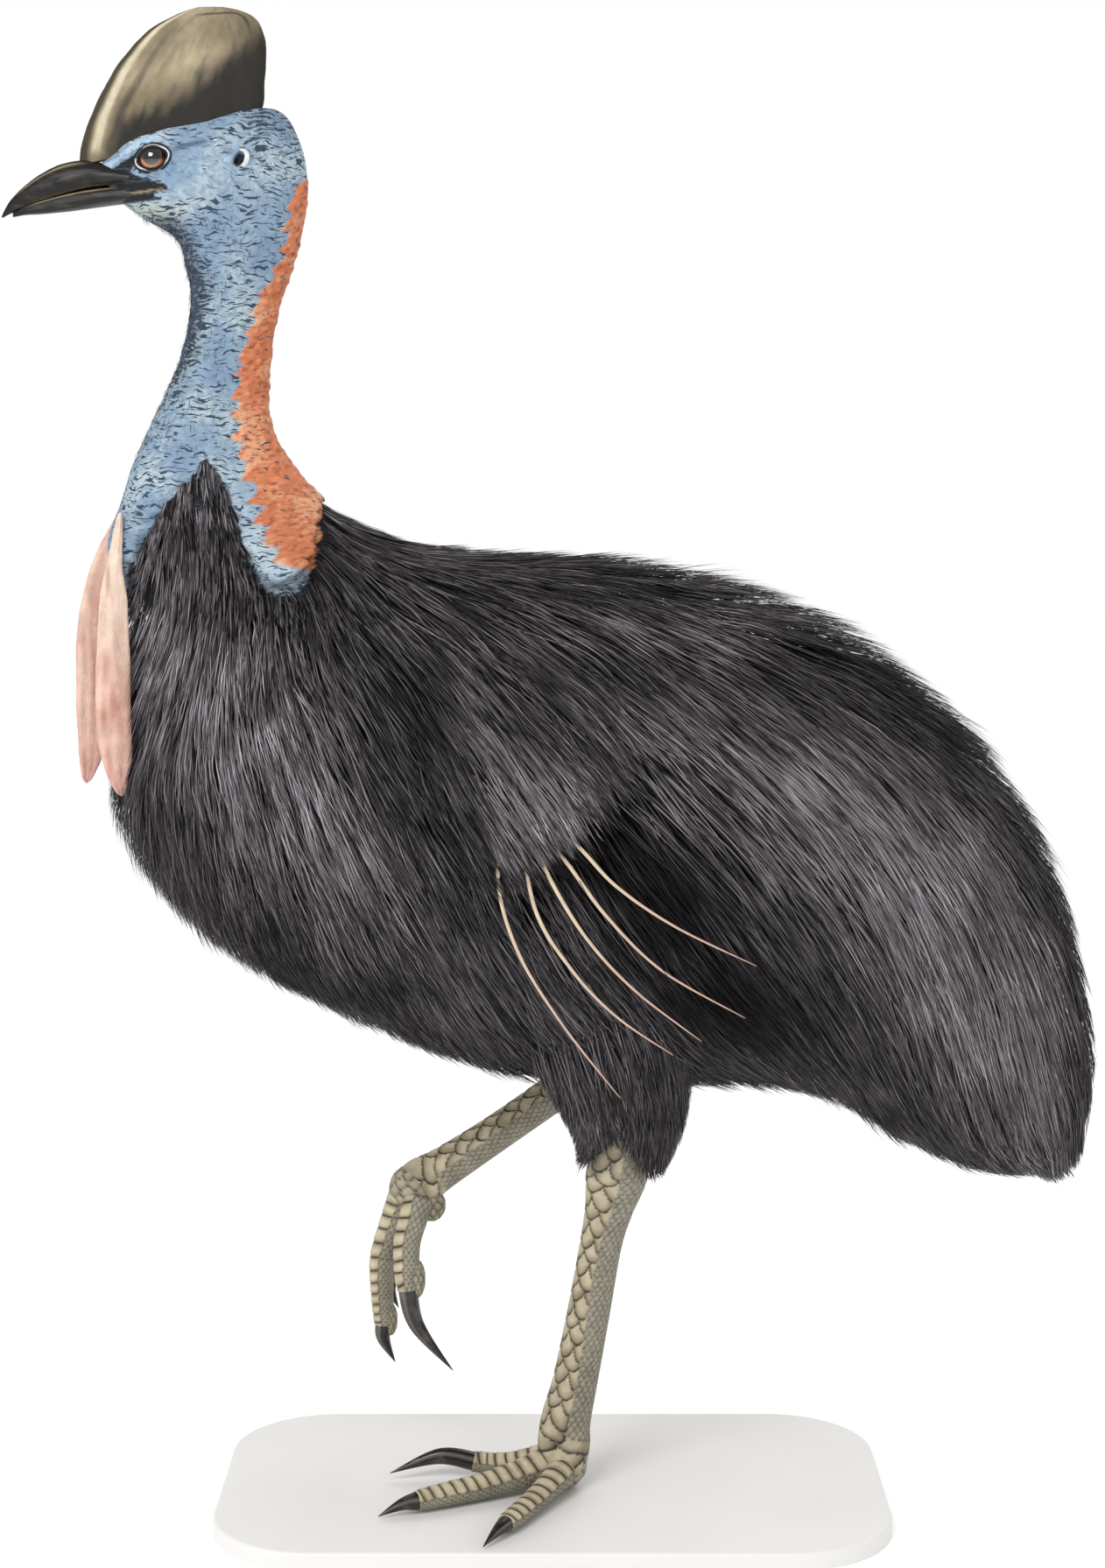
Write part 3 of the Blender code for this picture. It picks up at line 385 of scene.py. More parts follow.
# %% Dark marks
def dash_group():
    """Short dark marks between the folds of skin. Amount is how many there are, from 0 to 1."""
    inputs = (
        ("Colour", "NodeSocketColor", (1, 1, 1, 1)),
        ("Mark", "NodeSocketColor", (0, 0, 0, 1)),
        ("Amount", "NodeSocketFloat", 0.5),
        ("Scale", "NodeSocketFloat", 200.0),
    )
    group, start, end = new_group("Dashes", inputs, (("Colour", "NodeSocketColor"),))
    amount = start.outputs["Amount"]
    place = add(group, "ShaderNodeTexCoord").outputs["Object"]
    bend = add(group, "ShaderNodeTexNoise", [("Vector", place), ("Scale", 35.0)])
    shift = vector_maths(group, "MULTIPLY", bend.outputs["Color"], (0.0, 0.0, 0.022))
    there = vector_maths(group, "ADD", place, shift)
    links = [("Vector", there), ("Rotation", (0, 0.35, 0)), ("Scale", (0.34, 0.5, 1.9))]
    turn = add(group, "ShaderNodeMapping", links)
    links = [("Vector", turn.outputs[0]), ("Scale", start.outputs["Scale"]), ("Detail", 1.5)]
    marks = add(group, "ShaderNodeTexNoise", links)
    level = number_maths(group, "ADD", number_maths(group, "MULTIPLY", amount, -0.30), 0.74)
    over = number_maths(group, "SUBTRACT", marks.outputs["Fac"], level)
    links = [("Value", over), ("From Min", -0.035), ("From Max", 0.035)]
    sharp = add(group, "ShaderNodeMapRange", links, interpolation_type="SMOOTHSTEP")
    some = number_maths(group, "MULTIPLY", amount, 6.0, use_clamp=True)
    share = number_maths(group, "MULTIPLY", sharp.outputs["Result"], some)
    links = [("Factor", share), (6, start.outputs["Colour"]), (7, start.outputs["Mark"])]
    out = add(group, "ShaderNodeMix", links, data_type="RGBA")
    group.links.new(out.outputs[2], end.inputs["Colour"])
    return group


# %% [markdown]
# No skin or horn has quite one colour all over. Mottling multiplies the colour by soft noise.


# %% Mottling
def mottle_group():
    """A soft change of brightness over a surface, which multiplies its colour."""
    inputs = (
        ("Colour", "NodeSocketColor", (1, 1, 1, 1)),
        ("Scale", "NodeSocketFloat", 40.0),
        ("Dark", "NodeSocketFloat", 0.8),
        ("Light", "NodeSocketFloat", 1.2),
    )
    group, start, end = new_group("Mottle", inputs, (("Colour", "NodeSocketColor"),))
    place = add(group, "ShaderNodeTexCoord").outputs["Object"]
    links = [("Vector", place), ("Scale", start.outputs["Scale"]), ("Detail", 4.0)]
    cloud = add(group, "ShaderNodeTexNoise", links)
    links = [("Value", cloud.outputs["Fac"]), ("From Min", 0.3), ("From Max", 0.7)]
    links += [("To Min", start.outputs["Dark"]), ("To Max", start.outputs["Light"])]
    share = add(group, "ShaderNodeMapRange", links)
    out = vector_maths(group, "MULTIPLY", start.outputs["Colour"], share.outputs["Result"])
    group.links.new(out, end.inputs["Colour"])
    return group


# %% [markdown]
# Horn grows in layers, which leave fine parallel lines. They are noise that is squeezed across
# the lines and left long in their own direction.


# %% Lines of growth
def growth_group():
    """Fine lines of growth in horn, as a height. Stretch is how often it changes in x, y, z."""
    inputs = (("Stretch", "NodeSocketVector", (400.0, 400.0, 40.0)), ("Depth", "NodeSocketFloat", 1.0))
    group, start, end = new_group("Growth lines", inputs, (("Height", "NodeSocketFloat"),))
    place = add(group, "ShaderNodeTexCoord").outputs["Object"]
    long = vector_maths(group, "MULTIPLY", place, start.outputs["Stretch"])
    lines = add(group, "ShaderNodeTexNoise", [("Vector", long), ("Scale", 1.0), ("Detail", 3.0)])
    deep = number_maths(group, "MULTIPLY", lines.outputs["Fac"], start.outputs["Depth"])
    group.links.new(deep, end.inputs["Height"])
    return group


WRINKLES = wrinkle_group()
DASHES = dash_group()
MOTTLE = mottle_group()
GROWTH = growth_group()
print("shared effects:", ", ".join(group.name for group in (WRINKLES, DASHES, MOTTLE, GROWTH)))

# %% [markdown]
# All the finishes are built alike, on one Principled shader. Only its gloss, its relief and its
# marks differ, so one function makes them, and each is made where its first piece is.

# %% A finish
BUMP_REACH = 0.001


def finish_material(
    name, rough, colour=None, relief=None, mottle=(40, 0.85, 1.15), bump=0.3, marks=None, **shader_values
):
    """A Principled material. It takes its colour from the piece's Tint, or one plain colour,
    with mottling and marks, and its relief from one of the groups with the values given."""
    material = bpy.data.materials.new(name)
    material.use_nodes = True
    tree = material.node_tree
    shader = tree.nodes["Principled BSDF"]
    shader.inputs["Roughness"].default_value = rough
    for key, value in shader_values.items():
        shader.inputs[key.replace("_", " ")].default_value = value
    group = add(tree, "ShaderNodeGroup", node_tree=MOTTLE)
    group.inputs["Scale"].default_value = mottle[0]
    group.inputs["Dark"].default_value = mottle[1]
    group.inputs["Light"].default_value = mottle[2]
    if colour is None:
        tint = add(tree, "ShaderNodeAttribute", attribute_name="Tint")
        tree.links.new(tint.outputs["Color"], group.inputs["Colour"])
    else:
        group.inputs["Colour"].default_value = (*colour, 1)
    last = group.outputs["Colour"]
    if marks:
        links = [("Amount", tint.outputs["Alpha"]), ("Colour", last)]
        links += [("Mark", (*marks[0], 1)), ("Scale", marks[1])]
        last = add(tree, "ShaderNodeGroup", links, node_tree=DASHES).outputs["Colour"]
    tree.links.new(last, shader.inputs["Base Color"])
    if relief:
        kind, values = relief
        height = add(tree, "ShaderNodeGroup", values.items(), node_tree=kind)
        links = [("Height", height.outputs["Height"]), ("Strength", bump), ("Distance", BUMP_REACH)]
        dent = add(tree, "ShaderNodeBump", links)
        tree.links.new(dent.outputs["Normal"], shader.inputs["Normal"])
    return material


SKIN = finish_material(
    "bare skin", 0.58, relief=(WRINKLES, {"Scale": 420.0}), mottle=(160, 0.84, 1.14), bump=0.5,
    marks=((0.030, 0.050, 0.085), 230.0), Subsurface_Weight=0.08, Subsurface_Scale=0.002,
    Specular_IOR_Level=0.25,
)

# %% [markdown]
# ## The skin
#
# On the head and neck the skin is bare: blue, wrinkled and thinly set with bristles, with an
# orange-red band down the nape whose front edge is toothed. These markings could be painted on
# the mesh by hand. Here they are functions of the profile's x and z, because each mark then has
# its place in millimetres and its edge is as sharp as the mesh is fine. The same skin goes on
# under the plumage, painted near black as shade, so that nothing pale shows between the feathers.

# %% Places on the head
EYE = (-443, 1533)
EYE_RADIUS = 16.6
EYE_IN = 11.9
EYE_TILT = math.radians(14)
LID = (18.0, 13.2)
EAR = (-346, 1531)
CASQUE_FOOT = np.array([
    (-523, 1529), (-506, 1524), (-477, 1545), (-460, 1557), (-431, 1568), (-399, 1571), (-360, 1575),
    (-338, 1580), (-320, 1592),
])
PLUMAGE_EDGE = np.array([
    (-560, 940), (-473, 1071), (-465, 1104), (-429, 1158), (-383, 1206), (-363, 1168), (-349, 1136),
    (-343, 1103), (-317, 1063), (-299, 1057), (-282, 1060), (-270, 1074), (-263, 1092), (-258, 1200),
])
BAND_FRONT = np.array([
    (1514, -275), (1495, -289), (1470, -294), (1435, -300), (1416, -306), (1393, -320), (1379, -329),
    (1352, -336), (1326, -346), (1297, -351), (1258, -356), (1223, -354), (1192, -345), (1158, -333),
    (1121, -322), (1092, -303), (1078, -270),
])
NECK_FRONT = ((-1470, -1440, -1400, -1340, -1280, -1180), (-440, -424, -410, -418, -436, -474))
TOOTH = 23.0
TOOTH_LENGTH = 13.0


# %% Edges of the markings
def profile(points):
    """x and z of points in the tables' millimetres."""
    return points[..., 0] / MM, (points[..., 2] - BASE_THICK) / MM


def behind_front(x, z):
    """How many millimetres places lie behind the front line of the neck."""
    return x - np.interp(-z, *NECK_FRONT)


def ear_reach(x, z):
    """How far places are from the ear's centre, in the leaning oval of its rim."""
    return np.hypot(x - EAR[0] - 0.25 * (z - EAR[1]), (z - EAR[1]) / 1.3)


def band_depth(points):
    """How many millimetres a point lies inside the nape band's toothed front edge."""
    x, z = profile(points)
    front = np.interp(-z, -BAND_FRONT[:, 0], BAND_FRONT[:, 1])
    wander = noise_at(points, 40, 3.1) * 7
    down = (-(z + wander) / TOOTH) % 1
    tooth = np.where(down < 0.8, down / 0.8, (1 - down) / 0.2)
    big = 0.65 + 0.5 * noise_at(points, 25, 6.1)
    long = 1 + 0.7 * smooth_step(-z, -1290, -1200)
    inside = x - front + (tooth**1.3 - 0.5) * TOOTH_LENGTH * big * long - noise_at(points, 300, 7.7) * 1.5
    top = (1512 - z) * 0.6
    foot = (z - 1086) * 0.7 + (x + 300) * 0.35
    return np.minimum(np.minimum(inside, top + 4), foot)


def eye_share(x, z):
    """How far places are from the eye's centre. It is 1 along the tilted almond of the lids."""
    dx, dz = x - EYE[0], z - EYE[1]
    across = dx * math.cos(EYE_TILT) + dz * math.sin(EYE_TILT)
    up = dz * math.cos(EYE_TILT) - dx * math.sin(EYE_TILT)
    lean = across**2 / np.maximum(across**2 + up**2, 1e-6)
    return np.hypot(across / LID[0], up / (LID[1] * (1 - 0.2 * lean)))


def above_plumage(points):
    """How many millimetres points lie above the ragged edge of the plumage on the neck."""
    x, z = profile(points)
    x = x + 6.0 * noise_at(points * np.array([0.4, 0.4, 1.0]), 130, 1.9)
    edge = np.interp(x, PLUMAGE_EDGE[:, 0], PLUMAGE_EDGE[:, 1])
    edge = edge + 5.0 * noise_at(points * np.array([1.0, 1.0, 0.3]), 120, 2.9)
    return np.where(x > PLUMAGE_EDGE[-1, 0], -999.0, z - edge)


def in_plumage(points, margin=0.0):
    return above_plumage(points) < -margin


# %% The black patch before the eye
LORE = np.array([
    (-520, 1517), (-505, 1519), (-491, 1521), (-477, 1530), (-466, 1537), (-460, 1534), (-464, 1524),
    (-469, 1518), (-461, 1514), (-445, 1509), (-427, 1503.5), (-425, 1499), (-441, 1494), (-441, 1487),
    (-470, 1485), (-520, 1486),
], float)


def inside_outline(x, z, outline):
    """How many millimetres points lie inside a closed outline. It is below zero outside."""
    nearest = np.full(x.shape, 1e9)
    winding = np.zeros(x.shape, bool)
    for (ax, az), (bx, bz) in zip(outline, np.roll(outline, -1, axis=0)):
        dx, dz = bx - ax, bz - az
        t = np.clip(((x - ax) * dx + (z - az) * dz) / (dx * dx + dz * dz), 0, 1)
        nearest = np.minimum(nearest, np.hypot(x - ax - t * dx, z - az - t * dz))
        crossing = (az > z) != (bz > z)
        at_x = ax + (z - az) / (dz if dz else 1e-9) * dx
        winding ^= crossing & (x < at_x)
    return np.where(winding, nearest, -nearest)


# %% Colours of the skin
def skin_tint(points):
    """The colour of the skin at each point."""
    x, z = profile(points)
    soft = noise_at(points, 26, 1.3)
    fine = noise_at(points * np.array([1.0, 1.0, 2.2]), 150, 5.2)
    pale = smooth_step(0.7 * soft + 0.7 * fine, -0.25, 0.6)
    tint = mixed((0.192, 0.276, 0.372), (0.370, 0.45, 0.485), pale)
    tint = mixed(tint, (0.130, 0.205, 0.315), 0.5 * smooth_step(-0.8 * soft + 0.7 * fine, 0.1, 0.7))
    dash = 0.42 + 0.16 * smooth_step(soft, -0.4, 0.5)
    lobe = smooth_step(-z, -1215, -1120) * smooth_step(x, -400, -340)
    tint = mixed(tint, (0.36, 0.44, 0.50), 0.6 * lobe)
    jaw = smooth_step(np.hypot((x + 448) / 46, (z - 1472) / 17), 1.25, 0.45)
    tint = mixed(tint, (0.42, 0.47, 0.42), 0.85 * jaw)
    throat = smooth_step(behind_front(x, z), 42, 6) * smooth_step(z, 1240, 1350)
    throat = throat * smooth_step(-z, -1482, -1455)
    tint = mixed(tint, (0.080, 0.083, 0.084), throat * 0.9)
    crown = smooth_step(z, 1535, 1590) * smooth_step(x, -358, -325)
    tint = mixed(tint, (0.090, 0.140, 0.215), crown * 0.5)
    calm = smooth_step(np.hypot((x + 395) / 48, (z - 1518) / 30), 1.25, 0.7)
    dash = dash * (1 - 0.75 * calm) + 0.6 * throat + 0.35 * crown
    band = smooth_step(band_depth(points), -0.6, 0.8)
    warm = mixed((0.53, 0.175, 0.077), (0.63, 0.31, 0.17), smooth_step(soft + 0.8 * fine, -0.1, 0.6))
    deep = smooth_step(-fine + 0.4 * noise_at(points, 420, 1.0), 0.1, 0.6)
    warm = mixed(warm, (0.30, 0.050, 0.020), 0.75 * deep)
    warm = warm * (1 - 0.12 * smooth_step(-z, -1200, -1130))[..., None]
    tint = mixed(tint, warm, band)
    dash = dash * (1 - 0.55 * band)
    eye = eye_share(x, z)
    tint = mixed(tint, (0.012, 0.012, 0.014), smooth_step(inside_outline(x, z, LORE) + 1.2 * fine, -0.8, 0.8))
    mouth = np.interp(x, [-552, -495, -461, -429], [1487, 1494, 1495.5, 1499])
    slit = smooth_step(np.abs(z - mouth), 1.9, 0.7) * smooth_step(-x, 428, 436)
    tint = mixed(tint, (0.25, 0.18, 0.11), slit)
    tint = mixed(tint, (0.02, 0.02, 0.025), smooth_step(eye, 1.30, 1.04))
    streak = smooth_step(np.abs((z - 1547) - 0.22 * (x + 402)), 4.5, 1) * smooth_step(np.abs(x + 400), 26, 12)
    tint = mixed(tint, (0.035, 0.06, 0.12), 0.75 * streak)
    brow = np.interp(x, [-512, -491, -473, -460, -440], [1521, 1528, 1541, 1549, 1556])
    stripe = smooth_step(np.abs(z - brow), 4.4, 2.0) * smooth_step(x, -522, -508) * smooth_step(-x, 430, 446)
    tint = mixed(tint, (0.34, 0.46, 0.57), stripe)
    # Painted shade: the sunk ear hole is coloured near black.
    tint = mixed(tint, (0.012, 0.012, 0.016), smooth_step(ear_reach(x, z), 7.0, 5.0))
    # Painted shade: the skin under the plumage is near black.
    tint = mixed(tint, (0.008, 0.008, 0.009), in_plumage(points, 3.0) * 1.0)
    return np.concatenate([tint, np.clip(dash, 0, 1)[..., None]], axis=-1)


# %% Relief of the skin
def skin_relief(points):
    """How far the skin rises at each point, in millimetres."""
    x, z = profile(points)
    fold = 1 - np.abs(noise_at(points * np.array([0.55, 0.55, 1.5]), 95, 4.4))
    fine = 1 - np.abs(noise_at(points * np.array([0.7, 0.7, 1.4]), 240, 8.8))
    neck = smooth_step(-z, -1470, -1400)
    lift = 1.1 * (fold - 0.75) * (0.35 + 0.65 * neck) + 0.45 * (fine - 0.75)
    band = smooth_step(band_depth(points), -1.0, 2.5)
    wart = noise_at(points * np.array([1, 1, 1.25]), 85, 6.5)
    lift += band * (1.3 + 1.5 * smooth_step(wart, -0.1, 0.4))
    eye = eye_share(x, z)
    lift += 1.3 * np.exp(-(((eye - 1.22) / 0.14) ** 2)) - 1.1 * np.exp(-(((eye - 1.62) / 0.16) ** 2))
    lift -= 14 * smooth_step(eye, 1.06, 0.94)
    ear = ear_reach(x, z)
    lift -= 8 * smooth_step(ear, 6.6, 3.6)
    behind = smooth_step(x - EAR[0], -3, 5)
    lift += 1.8 * np.exp(-(((ear - 8.4) / 1.8) ** 2)) * (0.25 + 0.75 * behind)
    brow = np.interp(x, [-480, -455, -430, -400], [1546, 1555, 1559, 1556])
    lift += 1.6 * np.exp(-(((z - brow) / 4.5) ** 2)) * smooth_step(x, -490, -470) * smooth_step(-x, 395, 425)
    gape = np.interp(x, [-500, -440, -418], [1503, 1501, 1495])
    lift -= 1.6 * np.exp(-(((z - gape) / 1.8) ** 2)) * smooth_step(-x, 414, 424)
    root = np.exp(-(((z - 1104) / 42) ** 2)) * smooth_step(-x, 452, 482)
    lift += 15 * root
    cheek = np.hypot((x + 405) / 42, (z - 1496) / 30)
    lift += 2.2 * smooth_step(cheek, 1, 0.1)
    return lift


# %% [markdown]
# The skin's rings lie close together where it is bare, for the folds, and far apart under the
# plumage, where nobody sees them. The thighs are two limbs inside the same skin, painted near
# black as shade under their plumage.

# %% Skin mesh
SKIN_COLUMNS = 152
BARE_STATIONS = 14.3
FINE_STEP = 2.2
COARSE_STEP = 14.0
# The near-black painted shade of the skin under the plumage.
UNDER_COAT_SHADE = 0.012


def skin_stations(fine, coarse):
    """Stations spaced evenly along the body, closer together where the skin is bare."""
    s = np.linspace(0, SKIN_END, 2000)
    back = np.linalg.norm(np.diff(body_point(s, 0.0, 1.0), axis=0), axis=1)
    front = np.linalg.norm(np.diff(body_point(s, math.pi, 1.0), axis=0), axis=1)
    wanted = np.where(s[1:] < BARE_STATIONS, fine, coarse) * MM
    count = np.concatenate([[0], np.cumsum(np.maximum(back, front) / wanted)])
    return np.interp(np.arange(int(count[-1]) + 1), count, s)


def make_skin():
    """The skin of head, neck and trunk, with its folds and colours."""
    stations = skin_stations(FINE_STEP, COARSE_STEP)
    angles = turned(SKIN_COLUMNS)
    rings = body_point(stations[:, None], angles[None, :], 1.0)
    outline = body_point(stations[:, None], angles[None, :], 0.0)
    naked = smooth_step(above_plumage(outline), -2, 20)
    rings = rings + (outline - rings) * naked[:, :, None]
    bare = (rings[:, :, 0] < -0.2) & (rings[:, :, 2] > 1.0)
    lift = np.zeros(bare.shape)
    tint = np.full((*bare.shape, 4), UNDER_COAT_SHADE)
    tint[..., 3] = 0
    lift[bare] = skin_relief(rings[bare])
    tint[bare] = skin_tint(rings[bare])
    fade = smooth_step(stations, 0.0, 0.4)[:, None]
    ends = [tint[0].mean(0)[None], tint[-1].mean(0)[None]]
    return (*loft(raised(rings, lift * fade)), np.concatenate([tint.reshape(-1, 4), *ends]))


# %% Limbs
def limb_frame(at, lead):
    """A limb's middle line from its rows, and the directions along it, to its front and side."""
    line = np.stack([at[:, 0], at[:, 2], at[:, 1]], axis=1) * MM
    line[:, 2] += BASE_THICK
    along = unit(np.gradient(line, axis=0))
    lead = np.asarray(lead, float)
    front = unit(lead - (along @ lead)[:, None] * along)
    return line, along, front, np.cross(along, front)


def limb_rings(rows, lead, places, sides, relief=None):
    """Rings round a limb's path. rows are x, z, y, half depth to the front, half width.
    relief(place column, angle row) adds millimetres to the radius."""
    at = spline(rows, places)
    line, _, front, side = limb_frame(at, lead)
    angles = turned(sides)
    more = relief(np.asarray(places)[:, None], angles[None, :]) if relief else 0
    deep = (at[:, 3:4] + more) * np.cos(angles)[None, :] * MM
    wide = (at[:, 4:5] + more) * np.sin(angles)[None, :] * MM
    return line[:, None, :] + deep[:, :, None] * front[:, None, :] + wide[:, :, None] * side[:, None, :]


THIGH_LEFT = np.array([
    (20, 690, -116, 112, 74), (48, 600, -112, 103, 72), (74, 520, -100, 82, 62),
    (84, 455, -82, 64, 50), (79, 402, -66, 46, 39),
], float)
THIGH_RIGHT = np.array([
    (-120, 700, 112, 100, 70), (-30, 650, 128, 92, 66), (46, 590, 138, 74, 58),
    (100, 545, 138, 52, 46), (126, 520, 132, 36, 36),
], float)
THIGH_COAT = 20.0

skin_parts = [make_skin()]
# The thighs' skin under their plumage is painted near black as shade.
for rows in (THIGH_LEFT, THIGH_RIGHT):
    rings = limb_rings(rows, FORWARD, np.linspace(0, 3.1, 40), 40, lambda place, angle: -THIGH_COAT)
    skin_parts.append((*loft(rings), (0.012, 0.012, 0.014, 0.0)))
skin = new_piece("skin", *merged(skin_parts))
dress(skin, SKIN, "blue_skin", "head", "neck_upper", "neck_lower", "torso", "thigh_left", "thigh_right")

# %% [markdown]
# ## Eyes and lids
#
# The iris is orange-brown round a wide pupil, and the whole ball is wet. A glass eye would be a
# clear shell over a painted disc; here one ball does, with the rings of the iris in its colours
# and a clear coat for the shine, because the lids hide all but its front. The lids are three
# rings that follow the ball: a dark margin, a paler rim and a wrinkle round both. Their corners
# lie on the skin, for which the head's half width is read off a grid of its points.

# %% Places on the sides
def side_width(grid, x, z):
    """Half width of the body's side at places x, z, from the nearest points of a grid on it."""
    grid_x, grid_z = profile(grid)
    x, z = np.broadcast_arrays(np.atleast_1d(x), np.atleast_1d(z))
    widths = []
    for one_x, one_z in zip(x.ravel(), z.ravel()):
        near = np.hypot(grid_x - one_x, grid_z - one_z)
        best = np.argpartition(near, 6)[:6]
        weight = 1 / (near[best] + 0.1)
        widths.append((-grid[best, 1] * weight).sum() / weight.sum() / MM)
    return np.array(widths).reshape(x.shape)


def side_grid(stations, columns):
    angles = np.linspace(0.15, math.pi - 0.15, columns)
    return body_point(stations[:, None], angles[None, :]).reshape(-1, 3)


HEAD_SIDE = side_grid(np.linspace(0, 8, 161), 120)


def head_half_width(place):
    return float(side_width(HEAD_SIDE, *place)[0])


EYE_Y = head_half_width(EYE) - EYE_IN
print("eye's centre", round(EYE_Y, 1), "mm from the middle plane")


# %% Balls of the eyes
EYE_SHINE = finish_material(
    "eye", 0.35, mottle=(900, 0.75, 1.25), Specular_IOR_Level=0.0, Coat_Weight=1.0, Coat_IOR=2.0,
    Coat_Roughness=0.02,
)


def ball_grid(centre, radius, axis, rows=48, columns=64):
    """A ball whose rings run round an axis, and the angle of each point from that axis."""
    axis = Vector(axis).normalized()
    first = axis.orthogonal().normalized()
    second = axis.cross(first)
    polar = np.linspace(0.01, math.pi - 0.01, rows)
    turn = turned(columns)
    ring = np.cos(turn)[:, None] * np.array(first) + np.sin(turn)[:, None] * np.array(second)
    points = np.sin(polar)[:, None, None] * ring[None] + np.cos(polar)[:, None, None] * np.array(axis)
    return np.array(centre) + points * radius, np.broadcast_to(polar[:, None], (rows, columns))


def eye_tint(polar, points):
    deg = np.degrees(polar)
    ray = noise_at(points, 900, 2.0)
    tint = mixed((0.001, 0.001, 0.001), (0.20, 0.065, 0.015), smooth_step(deg, 32, 34))
    tint = mixed(tint, (0.56, 0.22, 0.07), smooth_step(deg, 35, 42) * (0.6 + 0.4 * ray))
    # Painted shade: the upper part of the ball is darkened, as the upper lid shades it.
    height = (points[..., 2] - BASE_THICK) / MM - EYE[1]
    tint = mixed(tint, (0.008, 0.005, 0.004), smooth_step(height, -5.0, 1.5) * 0.95)
    return mixed(tint, (0.006, 0.005, 0.004), smooth_step(deg, 52, 56))


# %% Lids
LIDS = (
    ((16.2, 12.0), 0.4, (1.8, 1.2), (0.010, 0.010, 0.012, 0.0)),
    ((19.2, 14.2), 0.8, (1.4, 1.1), None),
    ((22.0, 16.3), 0.6, (1.6, 1.1), (0.014, 0.018, 0.026, 0.0)),
)


def lid_rings(side, size, out, thick, count=96, sides=12):
    """A ring of lid over the ball of the eye. Its corners lie on the skin."""
    turn = turned(count)
    x = size[0] * np.cos(turn)
    z = size[1] * np.sin(turn) * (1 - 0.2 * np.cos(turn) ** 2)
    forward = x * math.cos(EYE_TILT) - z * math.sin(EYE_TILT)
    around = np.stack([forward, 0 * x, x * math.sin(EYE_TILT) + z * math.cos(EYE_TILT)], axis=1)
    reach = np.hypot(around[:, 0], around[:, 2])
    ball = np.sqrt(np.maximum((EYE_RADIUS + out) ** 2 - reach**2, 4.0))
    skin_level = side_width(HEAD_SIDE, EYE[0] + around[:, 0], EYE[1] + around[:, 2]) - EYE_Y
    share = smooth_step(reach, 12.5, 17.5)
    lift = np.maximum(ball, ball * (1 - share) + (skin_level + 0.8) * share)
    outward = unit(around)
    lean = 1 - 0.7 * share
    normal = unit(np.stack([around[:, 0] * lean, side * lift, around[:, 2] * lean], axis=1))
    across = unit(outward - dot(outward, normal)[:, None] * normal)
    centre = np.array([EYE[0], side * EYE_Y, EYE[1]]) + around + np.array([0, side, 0]) * lift[:, None]
    angle = turned(sides)
    wide = thick[0] * (1 - 0.35 * np.abs(np.cos(turn)) ** 3)
    more = 1 + 0.10 * np.sin(turn * 31)
    ring = np.cos(angle)[None, :, None] * (across * wide[:, None])[:, None]
    ring = ring + np.sin(angle)[None, :, None] * (normal * (thick[1] * more)[:, None])[:, None]
    points = (centre[:, None] + ring) * MM
    points[..., 2] += BASE_THICK
    closed = np.concatenate([points, points[:1]])
    return closed.reshape(-1, 3), grid_quads(count + 1, sides), np.zeros((0, 3), int)


def rim_tint(points):
    """The rim is white in front and behind, and dark above and below."""
    x, z = profile(points)
    turn = np.arctan2((z - EYE[1]) * 1.15, x - EYE[0])
    pale = np.maximum(smooth_step(np.abs(turn - 0.35), 1.0, 0.6), smooth_step(np.abs(turn + 2.7), 0.9, 0.5))
    pale = np.maximum(pale, 0.5 * smooth_step(np.abs(turn - 1.6), 0.8, 0.5))
    tint = mixed(np.broadcast_to((0.05, 0.06, 0.08), points.shape), (0.55, 0.56, 0.55), pale)
    return np.concatenate([tint, 0 * x[:, None]], axis=1)


lid_parts = []
for side, word in SIDES:
    centre = (EYE[0] * MM, side * EYE_Y * MM, EYE[1] * MM + BASE_THICK)
    grid, polar = ball_grid(centre, EYE_RADIUS * MM, (-0.05, side, 0.10))
    ball = new_piece("eyeball_" + word, *painted(grid, eye_tint(polar, grid)))
    dress(ball, EYE_SHINE, "eye", "eye_" + word)
    for size, proud, thick, tint in LIDS:
        ring = lid_rings(side, size, proud, thick)
        lid_parts.append((*ring, rim_tint(ring[0]) if tint is None else tint))
lids = new_piece("lids", *merged(lid_parts))
dress(lids, SKIN, "blue_skin", "head")

# %% [markdown]
# ## Ears
#
# The ear is an open hole with a pale crescent of bare skin raised behind it. The hole is sunk
# into the skin already, and painted near black as shade. The crescent could be more relief in the
# skin, but its edge would step with the mesh, so it is a rim of its own that is thick in the
# middle and thin at both ends.


# %% Ear crescents
EAR_TURN = 1.75


def crescent(side):
    """The pale rim behind the ear on one side of the head."""
    count, sides = 60, 12
    turn = np.linspace(-EAR_TURN, EAR_TURN, count)
    width = 3.0 * np.sin((turn + EAR_TURN) / (2 * EAR_TURN) * math.pi) ** 0.6
    x = EAR[0] + 9.0 * np.cos(turn) + 2.0 * np.sin(turn)
    centre = np.stack([x, np.zeros(count), EAR[1] + 10.0 * np.sin(turn)], axis=1)
    centre[:, 1] = side * (head_half_width(EAR) + 0.7 - 0.25 * (turn / EAR_TURN) ** 2)
    outward = np.stack([np.cos(turn), np.zeros(count), np.sin(turn)], axis=1)
    angle = turned(sides)
    ring = np.cos(angle)[None, :, None] * outward[:, None] * width[:, None, None]
    proud = np.array([0, side * 1.0, 0]) * (width[:, None, None] * 0.55)
    points = (centre[:, None] + ring + np.sin(angle)[None, :, None] * proud) * MM
    points[..., 2] += BASE_THICK
    return loft(points)


ear_parts = [(*crescent(side), (0.58, 0.60, 0.60, 0.0)) for side, word in SIDES]
ears = new_piece("ear_rims", *merged(ear_parts))
dress(ears, SKIN, "blue_skin", "head")
